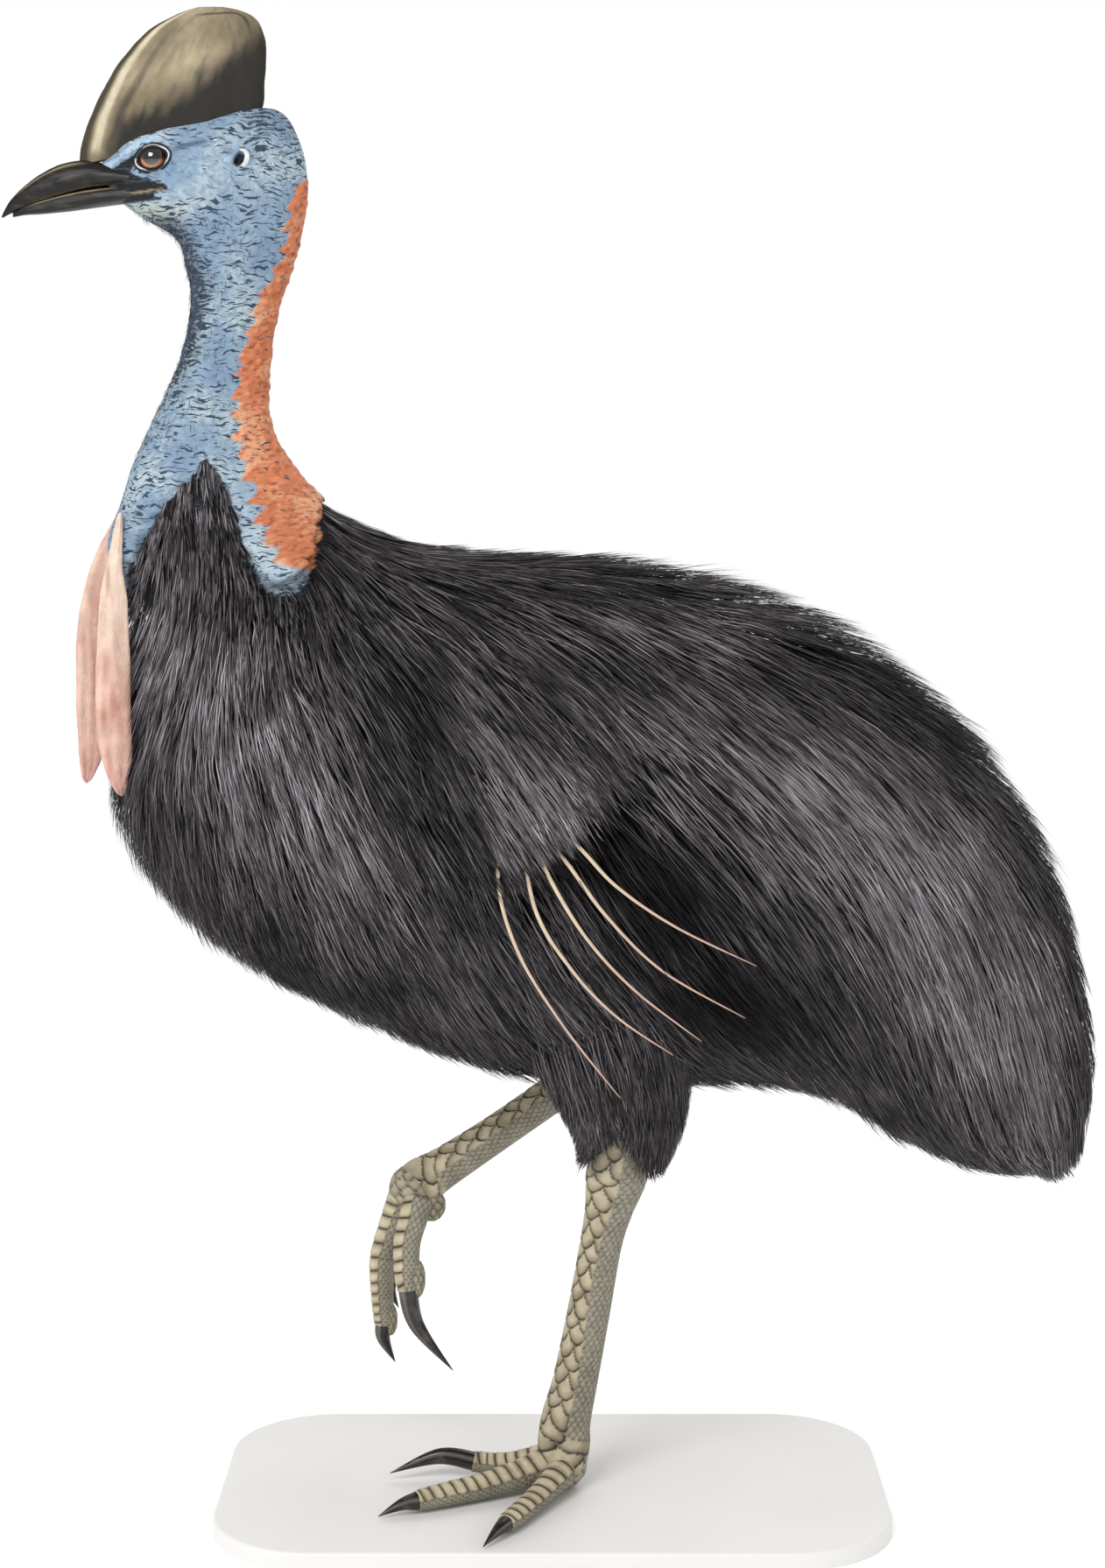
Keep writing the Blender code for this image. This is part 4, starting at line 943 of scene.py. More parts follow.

# %% [markdown]
# ## Casque
#
# The casque is a high keel of horn over the skull. It is tan and almost black towards its foot,
# with a pale painted highlight along its raised front edge and a dark line of painted shade in
# the groove behind it. A flat plate with rounded edges would pass from the side, but from the
# front the real one swells at the foot and thins to the rim. So it is a fan of sections like the
# body, from the foot up, with a raised front edge and a groove behind it.

# %% Casque
CASQUE_ROWS = np.array([
    (-528, 1527, -330, 1572, 14, 0),
    (-527, 1545, -322, 1594, 15.5, 0),
    (-517, 1576, -320, 1621, 18, 0),
    (-501, 1609, -318, 1648, 17, 0),
    (-481, 1641, -320, 1668, 13, 0),
    (-451, 1673, -329, 1687, 9, 0),
    (-417, 1692, -346, 1696, 5.5, 0),
    (-393, 1700, -365, 1700, 2, 0),
], float)
CASQUE_TOP = len(CASQUE_ROWS) - 1
CASQUE = finish_material(
    "casque horn", 0.55, relief=(GROWTH, {"Stretch": (90.0, 260.0, 90.0)}), mottle=(90, 0.88, 1.12),
    bump=0.25, Specular_IOR_Level=0.25,
)


def fan_rings(rows, places, angles):
    """Rings of sections at places in a table laid out like that of the body."""
    grid_t, grid_a = np.meshgrid(places, angles, indexing="ij")
    return section_points(spline(rows, grid_t.ravel()), grid_a.ravel(), 0).reshape(*grid_t.shape, 3)


def casque_tint(rings, places, angles):
    """The colours of the horn. t counts rows up from the foot, and u runs from the front edge,
    0, to the rear edge, 1."""
    t = np.broadcast_to(places[:, None], rings.shape[:2])
    u = round_share(angles, rings)
    side = np.sign(rings[..., 1])
    streak = noise_at(np.stack([u * 26, t * 0.9, side * 7.7], axis=-1), 1.0, 1.1)
    streak = 0.7 * streak + 0.5 * noise_at(np.stack([u * 60, t * 1.6, side * 3.3], axis=-1), 1.0, 5.1)
    cloud = noise_at(rings, 22, 4.2)
    pale = smooth_step(0.7 * cloud + 0.7 * streak, -0.4, 0.6)
    tint = mixed((0.175, 0.138, 0.080), (0.31, 0.255, 0.16), pale)
    tint = mixed(tint, (0.070, 0.055, 0.035), 0.45 * smooth_step(streak - 0.2 * cloud, 0.12, 0.6))
    base = 2.0 + 1.7 * smooth_step(u, 0.45, 1.0) + 0.4 * cloud + 0.7 * streak
    foot = smooth_step(base - t, -1.0, 0.6) * smooth_step(u, 0.09, 0.24)
    tint = mixed(tint, (0.011, 0.010, 0.009), 0.97 * foot)
    edge = np.logaddexp(3 * (t - 5.75), 27 * (u - 0.915)) / 3
    rim = smooth_step(np.abs(edge), 0.17, 0.04) * smooth_step(u, 0.30, 0.5) * smooth_step(t, 3.9, 4.8)
    tint = mixed(tint, (0.030, 0.024, 0.016), 0.85 * rim)
    rear = smooth_step(u, 0.72, 0.97) * smooth_step(-t, -6.4, -3.0)
    tint = mixed(tint, (0.022, 0.019, 0.015), 0.85 * rear)
    seam = smooth_step(np.abs(u - 0.022), 0.045, 0.015) * smooth_step(-t, -6.6, -5.6)
    tint = mixed(tint, (0.030, 0.025, 0.017), 0.9 * seam)
    # Painted highlight: a pale stripe along the raised front edge of the keel.
    light = smooth_step(np.abs(u - 0.098), 0.040, 0.012)
    light = light * smooth_step(t, 0.2, 1.2) * smooth_step(-t, -6.6, -5.4)
    tint = mixed(tint, (0.47, 0.41, 0.29), light)
    # Painted shade: a dark line in the groove behind the raised front edge.
    dark = smooth_step(np.abs(u - 0.165 - 0.02 * t), 0.05, 0.008) * smooth_step(-t, -6.0, -3.5)
    tint = mixed(tint, (0.040, 0.033, 0.022), 0.8 * dark * (0.55 + 0.45 * smooth_step(streak, -0.3, 0.3)))
    return tint


places = np.linspace(0, CASQUE_TOP, 90)
angles = turned(128)
rings = fan_rings(CASQUE_ROWS, places, angles)
rearward = (1 - np.cos(angles)) / 2
keel = 0.8 * np.exp(-(((rearward - 0.085) / 0.03) ** 2)) - 0.9 * np.exp(-(((rearward - 0.16) / 0.03) ** 2))
wave = 0.5 * noise_at(rings, 60, 2.2) + 0.25 * noise_at(rings, 170, 3.3)
rings = raised(rings, (keel[None, :] + wave) * smooth_step(CASQUE_TOP - places, 0, 1.5)[:, None])
casque = new_piece("casque_horn", *painted(rings, casque_tint(rings, places, angles)))
dress(casque, CASQUE, "casque_horn", "casque")

# %% [markdown]
# ## Bill
#
# The bill is near black. A painted highlight runs as a tan streak along its ridge and along the
# lower edge of the upper half, and a tan streak runs along the upper edge of the lower half. A
# slit nostril, painted near black as shade, lies far forward on each side of the upper half. One
# solid with a painted gape would be simpler, but the line where the halves meet catches the
# light, so each half is a fan of sections of its own, made flat where it meets the other.

# %% Bill
BILL_UPPER = np.array([
    (-436, 1511, -436, 1506, 29, 0),
    (-471, 1522, -470, 1506, 25, 0),
    (-502, 1530, -504, 1503, 20.5, 0),
    (-522, 1533.5, -523, 1500, 17, 0),
    (-549, 1529, -548, 1494, 14, 0),
    (-574, 1517, -572, 1487, 10.5, 0),
    (-594, 1502, -592, 1481, 7, 0),
    (-608, 1487.5, -606, 1475, 3.5, 0),
    (-617, 1472, -616, 1470, 1, 0),
], float)
BILL_LOWER = np.array([
    (-447, 1504, -450, 1491, 26, 0),
    (-471, 1505, -476, 1486, 22.5, 0),
    (-503, 1502, -506, 1482, 18.5, 0),
    (-523, 1499, -527, 1479, 15.5, 0),
    (-548, 1493, -551, 1476, 12, 0),
    (-572, 1486, -575, 1474, 8.5, 0),
    (-590, 1480, -591, 1473, 5.5, 0),
    (-604, 1474.5, -604, 1471, 1.5, 0),
], float)
NOSTRIL = (-549, 1508)
BILL = finish_material(
    "bill horn", 0.42, relief=(GROWTH, {"Stretch": (60.0, 300.0, 420.0)}), mottle=(60, 0.8, 1.2),
    bump=0.2, Specular_IOR_Level=0.3,
)


# %% Halves of the bill
def bill_rings(rows, places, angles, upper):
    """Sections of one half, squared off on the side that meets the other half."""
    rings = fan_rings(rows, places, angles)
    at = spline(rows, places)
    half = (at[:, 0:2] - at[:, 2:4]) / 2 * MM
    facing = np.cos(angles)
    meets = facing < 0 if upper else facing > 0
    more = np.where(meets, np.sign(facing) * np.abs(facing) ** 0.5 - facing, 0)
    rings[..., 0] += half[:, :1] * more
    rings[..., 2] += half[:, 1:] * more
    if not upper:
        shut = (0.8 + 2.2 * smooth_step(-at[:, 0], 500, 570)) * smooth_step(at[:, 0], -613, -600)
        rings[..., 2] += shut[:, None] * np.sqrt(np.maximum(facing, 0)) * MM
    return rings


def upper_marks(x, z, down, lift, tint):
    """The nostril in its groove, painted near black as shade, and painted highlights as streaks
    along the ridge and the edge of the upper half.
    """
    slope = z - (NOSTRIL[1] + 0.35 * (x - NOSTRIL[0]))
    hole = np.hypot((x - NOSTRIL[0]) / 9.5, slope / 2.8)
    groove = np.hypot((x - NOSTRIL[0] + 2) / 30, slope / 6)
    lift = lift - 3.2 * smooth_step(hole, 1.0, 0.3) - 1.0 * smooth_step(groove, 1.0, 0.2)
    # Painted shade: the sunk nostril is coloured near black.
    tint = mixed(tint, (0.004, 0.004, 0.004), smooth_step(hole, 1.0, 0.5))
    # Painted highlights: pale streaks along the ridge and along the lower edge of the upper half.
    ridge = smooth_step(np.abs(down - 0.13), 0.06, 0.015)
    ridge = ridge * smooth_step(-x, 515, 535) * smooth_step(x, -606, -585)
    edge = smooth_step(np.abs(down - 0.86), 0.06, 0.02) * smooth_step(x, -600, -560)
    tint = mixed(tint, (0.22, 0.16, 0.095), 0.85 * ridge)
    return lift, mixed(tint, (0.10, 0.075, 0.048), 0.6 * edge)


def make_bill(name, rows, node, upper):
    """One half of the bill. The upper half also gets the ball of horn that roots it in the head."""
    angles = turned(72)
    rings = bill_rings(rows, np.linspace(0, len(rows) - 1, 90), angles, upper)
    x, z = profile(rings)
    down = round_share(angles, rings)
    lift = 0.25 * noise_at(rings * np.array([0.4, 1, 1.6]), 160, 2.0)
    cloud = noise_at(rings * np.array([0.25, 1, 1.4]), 190, 1.0)
    tint = mixed((0.008, 0.007, 0.0065), (0.030, 0.025, 0.019), smooth_step(cloud, 0.0, 0.6))
    if upper:
        lift, tint = upper_marks(x, z, down, lift, tint)
    else:
        edge = smooth_step(np.abs(down - 0.20), 0.12, 0.04) * smooth_step(x, -600, -570)
        tint = mixed(tint, (0.28, 0.21, 0.13), 0.9 * edge)
    parts = [painted(raised(rings, lift), tint)]
    if upper:
        grid, _ = ball_grid((0, 0, 0), 1.0, UP, 24, 32)
        points, quads, tris = loft(grid)
        points = points * np.array([10, 9, 6.5]) * MM + np.array([-0.497, 0, 1.5245 + BASE_THICK])
        parts.append((points, quads, tris, (0.012, 0.011, 0.010)))
    dress(new_piece(name, *merged(parts)), BILL, "bill_horn", node)


make_bill("bill_top_half", BILL_UPPER, "bill_upper", True)
make_bill("bill_lower_half", BILL_LOWER, "bill_lower", False)

# %% [markdown]
# ## Wattles
#
# Two long flat wattles hang from the front of the lower neck. They are soft, folded along their
# length, flesh pink and creamy at the top. Cloth could be let fall for them, but they don't move
# here, so each is a limb along a hanging path whose radius has a few lengthwise folds. A little
# light passes through the skin and softens its shadows.

# %% Wattles
WATTLE_LEFT = np.array([
    (-483, 1142, -46, 2, 4), (-486, 1104, -56, 6.5, 6), (-493, 1050, -57, 11.5, 7),
    (-495, 980, -58, 16, 7.5), (-495, 910, -68, 16, 7), (-490, 860, -70, 13, 6), (-484, 826, -66, 5, 3),
], float)
WATTLE_RIGHT = np.array([
    (-475, 1166, 14, 6, 6), (-491, 1130, 17, 9, 7), (-513, 1080, 18, 13, 7),
    (-528, 1020, 17, 15, 7.5), (-532, 940, 16, 15, 7), (-534, 870, 15, 12, 6), (-538, 830, 15, 4.5, 3),
], float)
WATTLE_END = len(WATTLE_LEFT) - 1
WATTLE = finish_material(
    "wattle skin", 0.42, relief=(WRINKLES, {"Scale": 300.0}), mottle=(70, 0.88, 1.1), bump=0.4,
    Subsurface_Weight=0.2, Subsurface_Scale=0.006, Specular_IOR_Level=0.4,
)


def wattle_folds(place, angle):
    return 0.9 * np.cos(3 * angle + 0.4 * place) + 0.4 * np.cos(7 * angle)


def wattle_tint(rings, z, cream):
    """Flesh pink in long clouds, redder at the tip. cream is how pale the top is."""
    cloud = noise_at(rings * np.array([1, 1, 0.14]), 130, 8.0)
    tint = mixed((0.54, 0.31, 0.245), (0.66, 0.45, 0.365), smooth_step(cloud, -0.4, 0.4))
    tint = mixed(tint, (0.70, 0.57, 0.46), 0.75 * cream * smooth_step(z, 930, 1070))
    tint = mixed(tint, (0.54, 0.27, 0.22), 0.5 * smooth_step(-z, -900, -835))
    tint = mixed(tint, (0.40, 0.19, 0.15), 0.5 * smooth_step(-cloud, 0.25, 0.6))
    return tint


def make_wattle(name, rows, node, cream):
    """One wattle. Its last rows close in a round tip."""
    tip = WATTLE_END - 0.6 * np.linspace(1, 0, 24)[1:] ** 1.8
    places = np.concatenate([np.linspace(0, 5.4, 110), tip])
    rings = limb_rings(rows, FORWARD, places, 56, wattle_folds)
    rings = narrowed(rings, np.sqrt(1 - smooth_step(places, 5.55, 6.0) ** 2 * 0.97))
    normals = grid_normals(rings)
    lift = 1.1 * noise_at(rings * np.array([1, 1, 0.3]), 80, 5.0)
    lift += 0.5 * noise_at(rings * np.array([1, 1, 0.6]), 230, 6.0)
    rings = rings + normals * lift[:, :, None] * MM
    x, z = profile(rings)
    rear = smooth_step(normals[..., 0], 0.2, 0.8)
    rings[..., 0] += 6.5 * rear * smooth_step(z, 832, 880) * smooth_step(-z, -1090, -1040) * MM
    piece = new_piece(name, *painted(rings, wattle_tint(rings, z, cream)))
    dress(piece, WATTLE, "wattle_skin", node)


make_wattle("wattle_near", WATTLE_LEFT, "wattle_left", 1.0)
make_wattle("wattle_far", WATTLE_RIGHT, "wattle_right", 0.25)

# %% [markdown]
# ## Legs and feet
#
# The shanks are cased in horny scutes the colour of pale khaki, with dark creases between them.
# Down the shank they overlap like tiles; over the toes they lie in one row of bands. The inner
# toe of each foot carries a long straight dagger of a claw. The scales could be bumps in the
# material, but then they would vanish at the outline, so they are raised in the mesh, and the
# same pattern gives each scale its colour.

# %% Tables of the legs
SHANK_LEFT = np.array([
    (83, 476, -82, 24, 22), (80, 428, -72, 26, 24), (74, 388, -60, 35, 30), (65, 344, -54, 27.5, 24),
    (56, 300, -48, 24, 20.5), (42, 215, -38, 24.5, 20), (27, 132, -30, 26, 21.5), (16, 82, -26, 29, 25),
    (13, 48, -25, 30, 28), (11, 24, -25, 26, 28),
], float)
SHANK_RIGHT = np.array([
    (132, 540, 140, 22, 20), (107, 517, 136, 32, 28), (67, 485, 130, 26, 23), (14, 447, 122, 22.5, 20),
    (-65, 393, 112, 22, 19), (-129, 352, 104, 24.5, 22), (-156, 336, 101, 28, 25), (-168, 325, 99, 27, 26),
], float)
CLAW_AT = 4
GROUND_GAP = 0.0003
TOES_LEFT = {
    "outer": [
        (15, 27, -40, 20, 17), (-1, 22, -70, 16, 15), (-19, 16.5, -104, 13, 13.5),
        (-36, 14.5, -137, 12, 12.5), (-51, 13, -165, 10.5, 11), (-62, 12, -186, 7, 7),
        (-77, 4, -211, 1.2, 1.2),
    ],
    "middle": [
        (-2, 30, -29, 22, 19), (-41, 22, -47, 17, 16), (-80, 17, -66, 14.5, 15), (-118, 15.5, -85, 13.5, 14),
        (-153, 14, -102, 11.5, 12), (-173, 13, -112, 7.5, 7.5), (-199, 4, -125, 1.2, 1.2),
    ],
    "inner": [
        (2, 30, -10, 20, 17), (-22, 26, -6, 15, 14.5), (-47, 20, -2, 13, 13.5), (-71, 18, 1, 12.5, 13),
        (-90, 20, 2, 12, 12), (-135, 27, 1, 10, 9), (-192, 10, -8, 1.2, 1.2),
    ],
}
TOES_RIGHT = {
    "outer": [
        (-158, 318, 113, 18.5, 17), (-179, 291, 129, 15, 14.5), (-195, 256, 140, 13, 13),
        (-200, 223, 144, 12, 12), (-200, 199, 146, 10.5, 10.5), (-199, 183, 147, 7, 7),
        (-190, 161, 149, 1.2, 1.2),
    ],
    "middle": [
        (-174, 326, 98, 22, 19), (-190, 290, 99, 17, 16), (-206, 240, 100, 15, 15),
        (-207, 196, 101, 13.5, 13.5), (-205, 160, 102, 12, 12), (-206, 138, 103, 9, 9),
        (-192, 107, 105, 1.2, 1.2),
    ],
    "inner": [
        (-160, 322, 84, 19, 17), (-167, 296, 74, 17, 15), (-174, 270, 68, 16, 14), (-175, 242, 64, 15, 13),
        (-174, 217, 62, 13, 12), (-163, 168, 61, 10, 9), (-120, 112, 60, 1.2, 1.2),
    ],
}
TOE_BANDS = (("outer", 9), ("middle", 12), ("inner", 7))
PADS_LEFT = (((9, 28, -25), (31, 27, 29), 0.95),)
PADS_RIGHT = (
    ((-169, 327, 99), (28, 27, 28), 0.95),
    ((-146, 308, 92), (17, 15, 20), 0.85),
    ((-162, 225, 63), (9.5, 10, 23), 0.95),
    ((-197, 162, 102), (8.5, 10, 20), 0.95),
    ((-209, 228, 145), (13, 12, 24), 0.95),
)
LEG = finish_material(
    "leg scales", 0.5, relief=(WRINKLES, {"Scale": 520.0}), mottle=(90, 0.85, 1.12), bump=0.25,
    Specular_IOR_Level=0.3,
)
CLAW = finish_material(
    "claw horn", 0.24, relief=(GROWTH, {"Stretch": (150.0, 400.0, 400.0)}), mottle=(60, 0.8, 1.2),
    bump=0.15, Specular_IOR_Level=0.5,
)


# %% Scutes
def tiles(across, down):
    """A pattern of overlapping round-ended tiles. across counts tiles round the leg and down
    counts their rows. Gives how far each point is inside its tile and how far down it."""
    inside = np.full(np.broadcast(across, down).shape, -1.0)
    part = np.zeros(inside.shape)
    for back in (2, 1, 0):
        row = np.floor(down) - back
        shift = 0.5 * (row % 2)
        column = np.round(across - shift)
        dx = (across - shift - column) / 0.62
        dy = (down - row) / 1.75
        depth = 1 - np.sqrt(dx**2 + dy**2)
        hit = (depth > 0) & (inside < 0)
        inside = np.where(hit, depth, inside)
        part = np.where(hit, dy, part)
    return np.maximum(inside, 0), part


def leg_tint(inside, warm, big):
    """Khaki plates with dark creases. Small scales are greyer than big ones."""
    pale = mixed((0.29, 0.27, 0.205), (0.43, 0.37, 0.255), big)
    dark = mixed((0.175, 0.158, 0.118), (0.23, 0.19, 0.12), big)
    tint = mixed(dark, pale, smooth_step(inside + 0.2 * warm, 0.05, 0.5))
    crease = smooth_step(inside, 0.15, 0.03)
    return mixed(tint, (0.020, 0.016, 0.011), crease * (0.55 + 0.45 * np.asarray(big)))


def leg_cloud(points):
    return noise_at(points, 45, 3.0)


def above_base(points):
    """Points that are kept from sinking into the base."""
    points[..., 2] = np.maximum(points[..., 2], BASE_THICK + GROUND_GAP)
    return points


# %% Shanks
def even_places(rows, count):
    """Places spaced evenly along a limb's path, and their shares of its length."""
    dense = np.linspace(0, len(rows) - 1, 400)
    run = np.linalg.norm(np.diff(spline(rows, dense)[:, :3], axis=0), axis=1)
    run = np.concatenate([[0], np.cumsum(run)]) / run.sum()
    share = np.linspace(0, 1, count)
    return np.interp(share, run, dense), share[:, None]


def shank_part(rows, row_count, across_count, lightness):
    """A shank with big tiles down its front and small scales behind."""
    places, t = even_places(rows, 250)
    sides = 96
    angles = turned(sides)
    signed = (angles + math.pi) % (2 * math.pi) - math.pi
    wander = 0.10 * np.sin(5 * angles)[None, :] + 0.10 * np.sin(2.3 * t * row_count)
    wide = across_count * (1 - 0.55 * smooth_step(t, 0.84, 0.95)) * (1 + 0.5 * smooth_step(t, 0.10, 0.0))
    big_in, big_part = tiles(signed[None, :] / (2 * math.pi) * wide + 0.25, t * row_count + wander)
    small_across = (signed / (2 * math.pi) * 20)[None, :] + 0 * t
    small_in, small_part = tiles(small_across, t * row_count * 2.7 + wander)
    big = smooth_step(np.cos(angles)[None, :] + 0.12 * np.sin(9 * t + 4 * signed[None, :]), 0.0, 0.12)
    big = np.maximum(big, smooth_step(t, 0.88, 0.93)) * smooth_step(t, 0.02, 0.12)
    inside = big * big_in + (1 - big) * small_in
    part = big * big_part + (1 - big) * small_part
    relief = (0.6 + 0.9 * big) * smooth_step(inside, 0.0, 0.22) * (0.45 + 0.55 * part) - 0.4
    rings = limb_rings(rows, (-1, 0, 0), places, sides, lambda p, a: relief)
    tint = leg_tint(inside, leg_cloud(rings), np.broadcast_to(big, inside.shape)) * lightness
    return painted(rings, tint)


# %% Toes, claws and balls of the feet
def toe_part(rows, lead, bands, stands):
    """A toe with bands over its top and small scales under it. A standing toe is flat below."""
    rows = np.array(rows, float)
    places = np.linspace(0, CLAW_AT + 0.12, 116)
    run = places[:, None] / CLAW_AT * bands
    sides = 56
    angles = turned(sides)
    facing = np.cos(angles)[None, :]
    v = run + 0.32 * (1 - np.abs(facing)) * np.sign(facing + 1e-9)
    saw = v % 1
    inside = np.minimum(saw, 1 - saw) * 1.2
    across = np.broadcast_to(angles[None, :] / (2 * math.pi) * 14, saw.shape)
    small, _ = tiles(across, run * 3.2 + 0 * facing)
    top = smooth_step(facing, 0.12, 0.36)
    edge = smooth_step(np.abs(facing - 0.24), 0.0, 0.09)
    inside = (top * inside + (1 - top) * small * 0.8) * (0.25 + 0.75 * edge)
    relief = 1.5 * smooth_step(inside, 0.0, 0.2) * (0.5 + 0.5 * saw * top) - 0.5
    rings = limb_rings(rows, lead, places, sides, lambda p, a: relief)
    rings = narrowed(rings, np.sqrt(1 - (1 - np.clip(places / 0.35, 0, 1)) ** 2))
    if stands:
        rings = above_base(rings)
    return painted(rings, leg_tint(inside, leg_cloud(rings), np.broadcast_to(top, inside.shape)) * 1.1)


def claw_part(rows, lead, stands):
    """A claw with a groove along each side, which grows out of the toe's end."""
    rows = np.array(rows, float)
    tip = 6 - 0.6 * np.linspace(1, 0, 20)[1:] ** 1.6
    places = np.concatenate([np.linspace(CLAW_AT - 0.05, 5.4, 32), tip])
    sides = 32
    angles = turned(sides)
    groove = -0.9 * np.exp(-((np.abs(np.sin(angles)) - 1) / 0.12) ** 2)[None, :]
    rings = limb_rings(rows, lead, places, sides, lambda p, a: -0.7 + groove * smooth_step(6 - p, 0, 1.0))
    if stands:
        rings = above_base(rings)
    cloud = noise_at(rings, 90, 5.5)
    tint = mixed((0.012, 0.011, 0.012), (0.05, 0.043, 0.038), smooth_step(cloud, 0.0, 0.6))
    streak = smooth_step(np.abs(round_share(angles, rings) - 0.25), 0.12, 0.03)
    return painted(rings, mixed(tint, (0.20, 0.17, 0.13), 0.5 * streak))


def ball_part(centre, radii, lightness):
    """The ball of a foot or of a toe's joint, as a scaled egg shape."""
    grid, _ = ball_grid((0, 0, 0), 1.0, UP, 36, 56)
    points, quads, tris = loft(grid)
    x, z, y = centre
    turn = np.arctan2(points[:, 1], points[:, 0]) / (2 * math.pi) * 9
    down = np.arccos(np.clip(points[:, 2], -1, 1)) / math.pi * 8
    inside, part = tiles(turn, down)
    points = points * (1 + 0.04 * smooth_step(inside, 0.0, 0.22) * part)[:, None]
    points = points * np.array(radii) * MM + np.array([x * MM, y * MM, z * MM + BASE_THICK])
    points = above_base(points)
    return points, quads, tris, leg_tint(inside, leg_cloud(points), 0.5 + 0 * inside) * lightness


# %% Both legs
for word, shank, toes, pads, lead, tile_rows, lightness in (
    ("left", SHANK_LEFT, TOES_LEFT, PADS_LEFT, UP, 27, 0.96),
    ("right", SHANK_RIGHT, TOES_RIGHT, PADS_RIGHT, FORWARD, 24, 1.08),
):
    stands = word == "left"
    parts = [shank_part(shank, tile_rows, 7, lightness)]
    parts += [ball_part(*pad) for pad in pads]
    parts += [toe_part(toes[name], lead, bands, stands) for name, bands in TOE_BANDS]
    leg = new_piece("leg_" + word, *merged(parts))
    dress(leg, LEG, "leg_skin", "shank_" + word, *[f"toe_{name}_{word}" for name in toes])
    claws = new_piece("claws_" + word, *merged([claw_part(rows, lead, stands) for rows in toes.values()]))
    dress(claws, CLAW, "claw_horn", *[f"claw_{name}_{word}" for name in toes])

# %% [markdown]
# ## Wings
#
# The wings are stubs that the plumage hides. Only their bare quills show, stiff and cream
# coloured, curving down and back over the flank. Each quill could be a curve with a bevel, which
# is a mesh only once it is converted, so it is a thin limb instead, along points that are given
# in profile and set just off the side of the trunk. The stub is a dark limb under the coat.

# %% Wings
WING = ((-92, 890, 16, 10), (-62, 856, 27, 15), (-28, 818, 31, 17), (4, 780, 24, 14), (20, 758, 10, 8))
WING_LIFT = 4
WING_RAISE = {-1: 0, 1: 45}
QUILLS = (
    ((-50, 826), (-58, 752), (-36, 674), (12, 592), (74, 512)),
    ((-36, 816), (-18, 722), (22, 655), (70, 602), (131, 560)),
    ((-28, 812), (2, 748), (40, 688), (91, 631), (162, 575)),
    ((-22, 814), (14, 776), (58, 717), (119, 655), (209, 601)),
    ((-22, 824), (24, 795), (68, 750), (132, 705), (220, 660)),
)
QUILL_RADIUS = 2.3
QUILL_LIFT = 9
QUILL_LEAST = 197

FLANK_SIDE = side_grid(np.linspace(11.6, 26.6, 160), 70)
QUILL = finish_material("quill horn", 0.35, mottle=(60, 0.9, 1.1), Specular_IOR_Level=0.5)
COAT = finish_material("plumage", 0.55, mottle=(14, 0.7, 1.3), Specular_IOR_Level=0.09)


def flank_y(x, z):
    """Half width of the trunk's side at x, z."""
    return float(side_width(FLANK_SIDE, x, z)[0])


def stub_rows(side):
    """The path of a wing's stub. It lies WING_LIFT outside the trunk."""
    rows = []
    for x, z, deep, thick in WING:
        z += WING_RAISE[side]
        rows.append((x, z, side * (flank_y(x, z) + WING_LIFT - thick), deep, thick))
    return np.array(rows, float)


def quill_rows(quill, side):
    """The path of a quill, which lifts off the coat and thins towards its tip."""
    rows = []
    for k, (x, z) in enumerate(quill):
        z += WING_RAISE[side]
        lift = (-6, 3, QUILL_LIFT, QUILL_LIFT, QUILL_LIFT)[k]
        thick = QUILL_RADIUS * (1 - 0.72 * (k / (len(quill) - 1)) ** 2)
        rows.append((x, z, side * (max(flank_y(x, z), QUILL_LEAST) + lift), thick, thick))
    return np.array(rows, float)


def quill_part(quill, side):
    """A quill, cream at its root, pinkish further down and brown at the tip."""
    places = np.linspace(0, 4, 60)
    rings = limb_rings(quill_rows(quill, side), FORWARD, places, 14)
    t = np.broadcast_to((places / 4)[:, None], rings.shape[:2])
    tint = mixed((0.56, 0.45, 0.32), (0.50, 0.33, 0.26), smooth_step(t, 0.3, 0.9))
    return painted(rings, mixed(tint, (0.22, 0.12, 0.08), 0.7 * smooth_step(t, 0.88, 1.0)))


for side, word in SIDES:
    rings = limb_rings(stub_rows(side), FORWARD, np.linspace(0, 4, 40), 32, lambda p, a: -4.0)
    stub = new_piece("stub_" + word, *loft(rings), (0.004, 0.004, 0.004))
    dress(stub, COAT, "plumage", "wing_" + word)
    quills = new_piece("quills_" + word, *merged([quill_part(quill, side) for quill in QUILLS]))
    dress(quills, QUILL, "plumage", "wing_" + word)

# %% [markdown]
# ## Plumage
#
# A cassowary's feathers have no hooks to hold their barbs together, so each hangs as a spray of
# long loose strands, and the coat looks like coarse black hair. It lies from the neck down the
# shoulders and back over the trunk, and falls over the rump.
#
# Blender's hair would lie well, but it is curves and not a solid. Here each feather is a tuft of
# thin three-sided strands with a common root. The roots are spread evenly over the skin, and
# each strand is walked over the body in the direction of the lie, rising slowly to the outline.

# %% Lie of the coat
RNG = np.random.default_rng(11)
DROOP = 1.0
COAT_START = 11.4
COAT_END = 26.5
DOWN = np.array([0.0, 0.0, -1.0])
STEPS = 5
WING_HEM = np.array([(-112, 835), (-62, 742), (18, 798), (55, 838), (92, 905)], float)
WING_BULGE = 17.0


def over_wing(points):
    """How many millimetres points lie above the lower edge of the wing's plumage, and whether
    they lie on the wing at all, from 0 to 1."""
    x, z = profile(points)
    z = z - np.where(points[..., 1] > 0, WING_RAISE[1], WING_RAISE[-1])
    above = z - np.interp(x, WING_HEM[:, 0], WING_HEM[:, 1])
    return above, smooth_step(x, -150, -95) * smooth_step(-x, -96, -45)


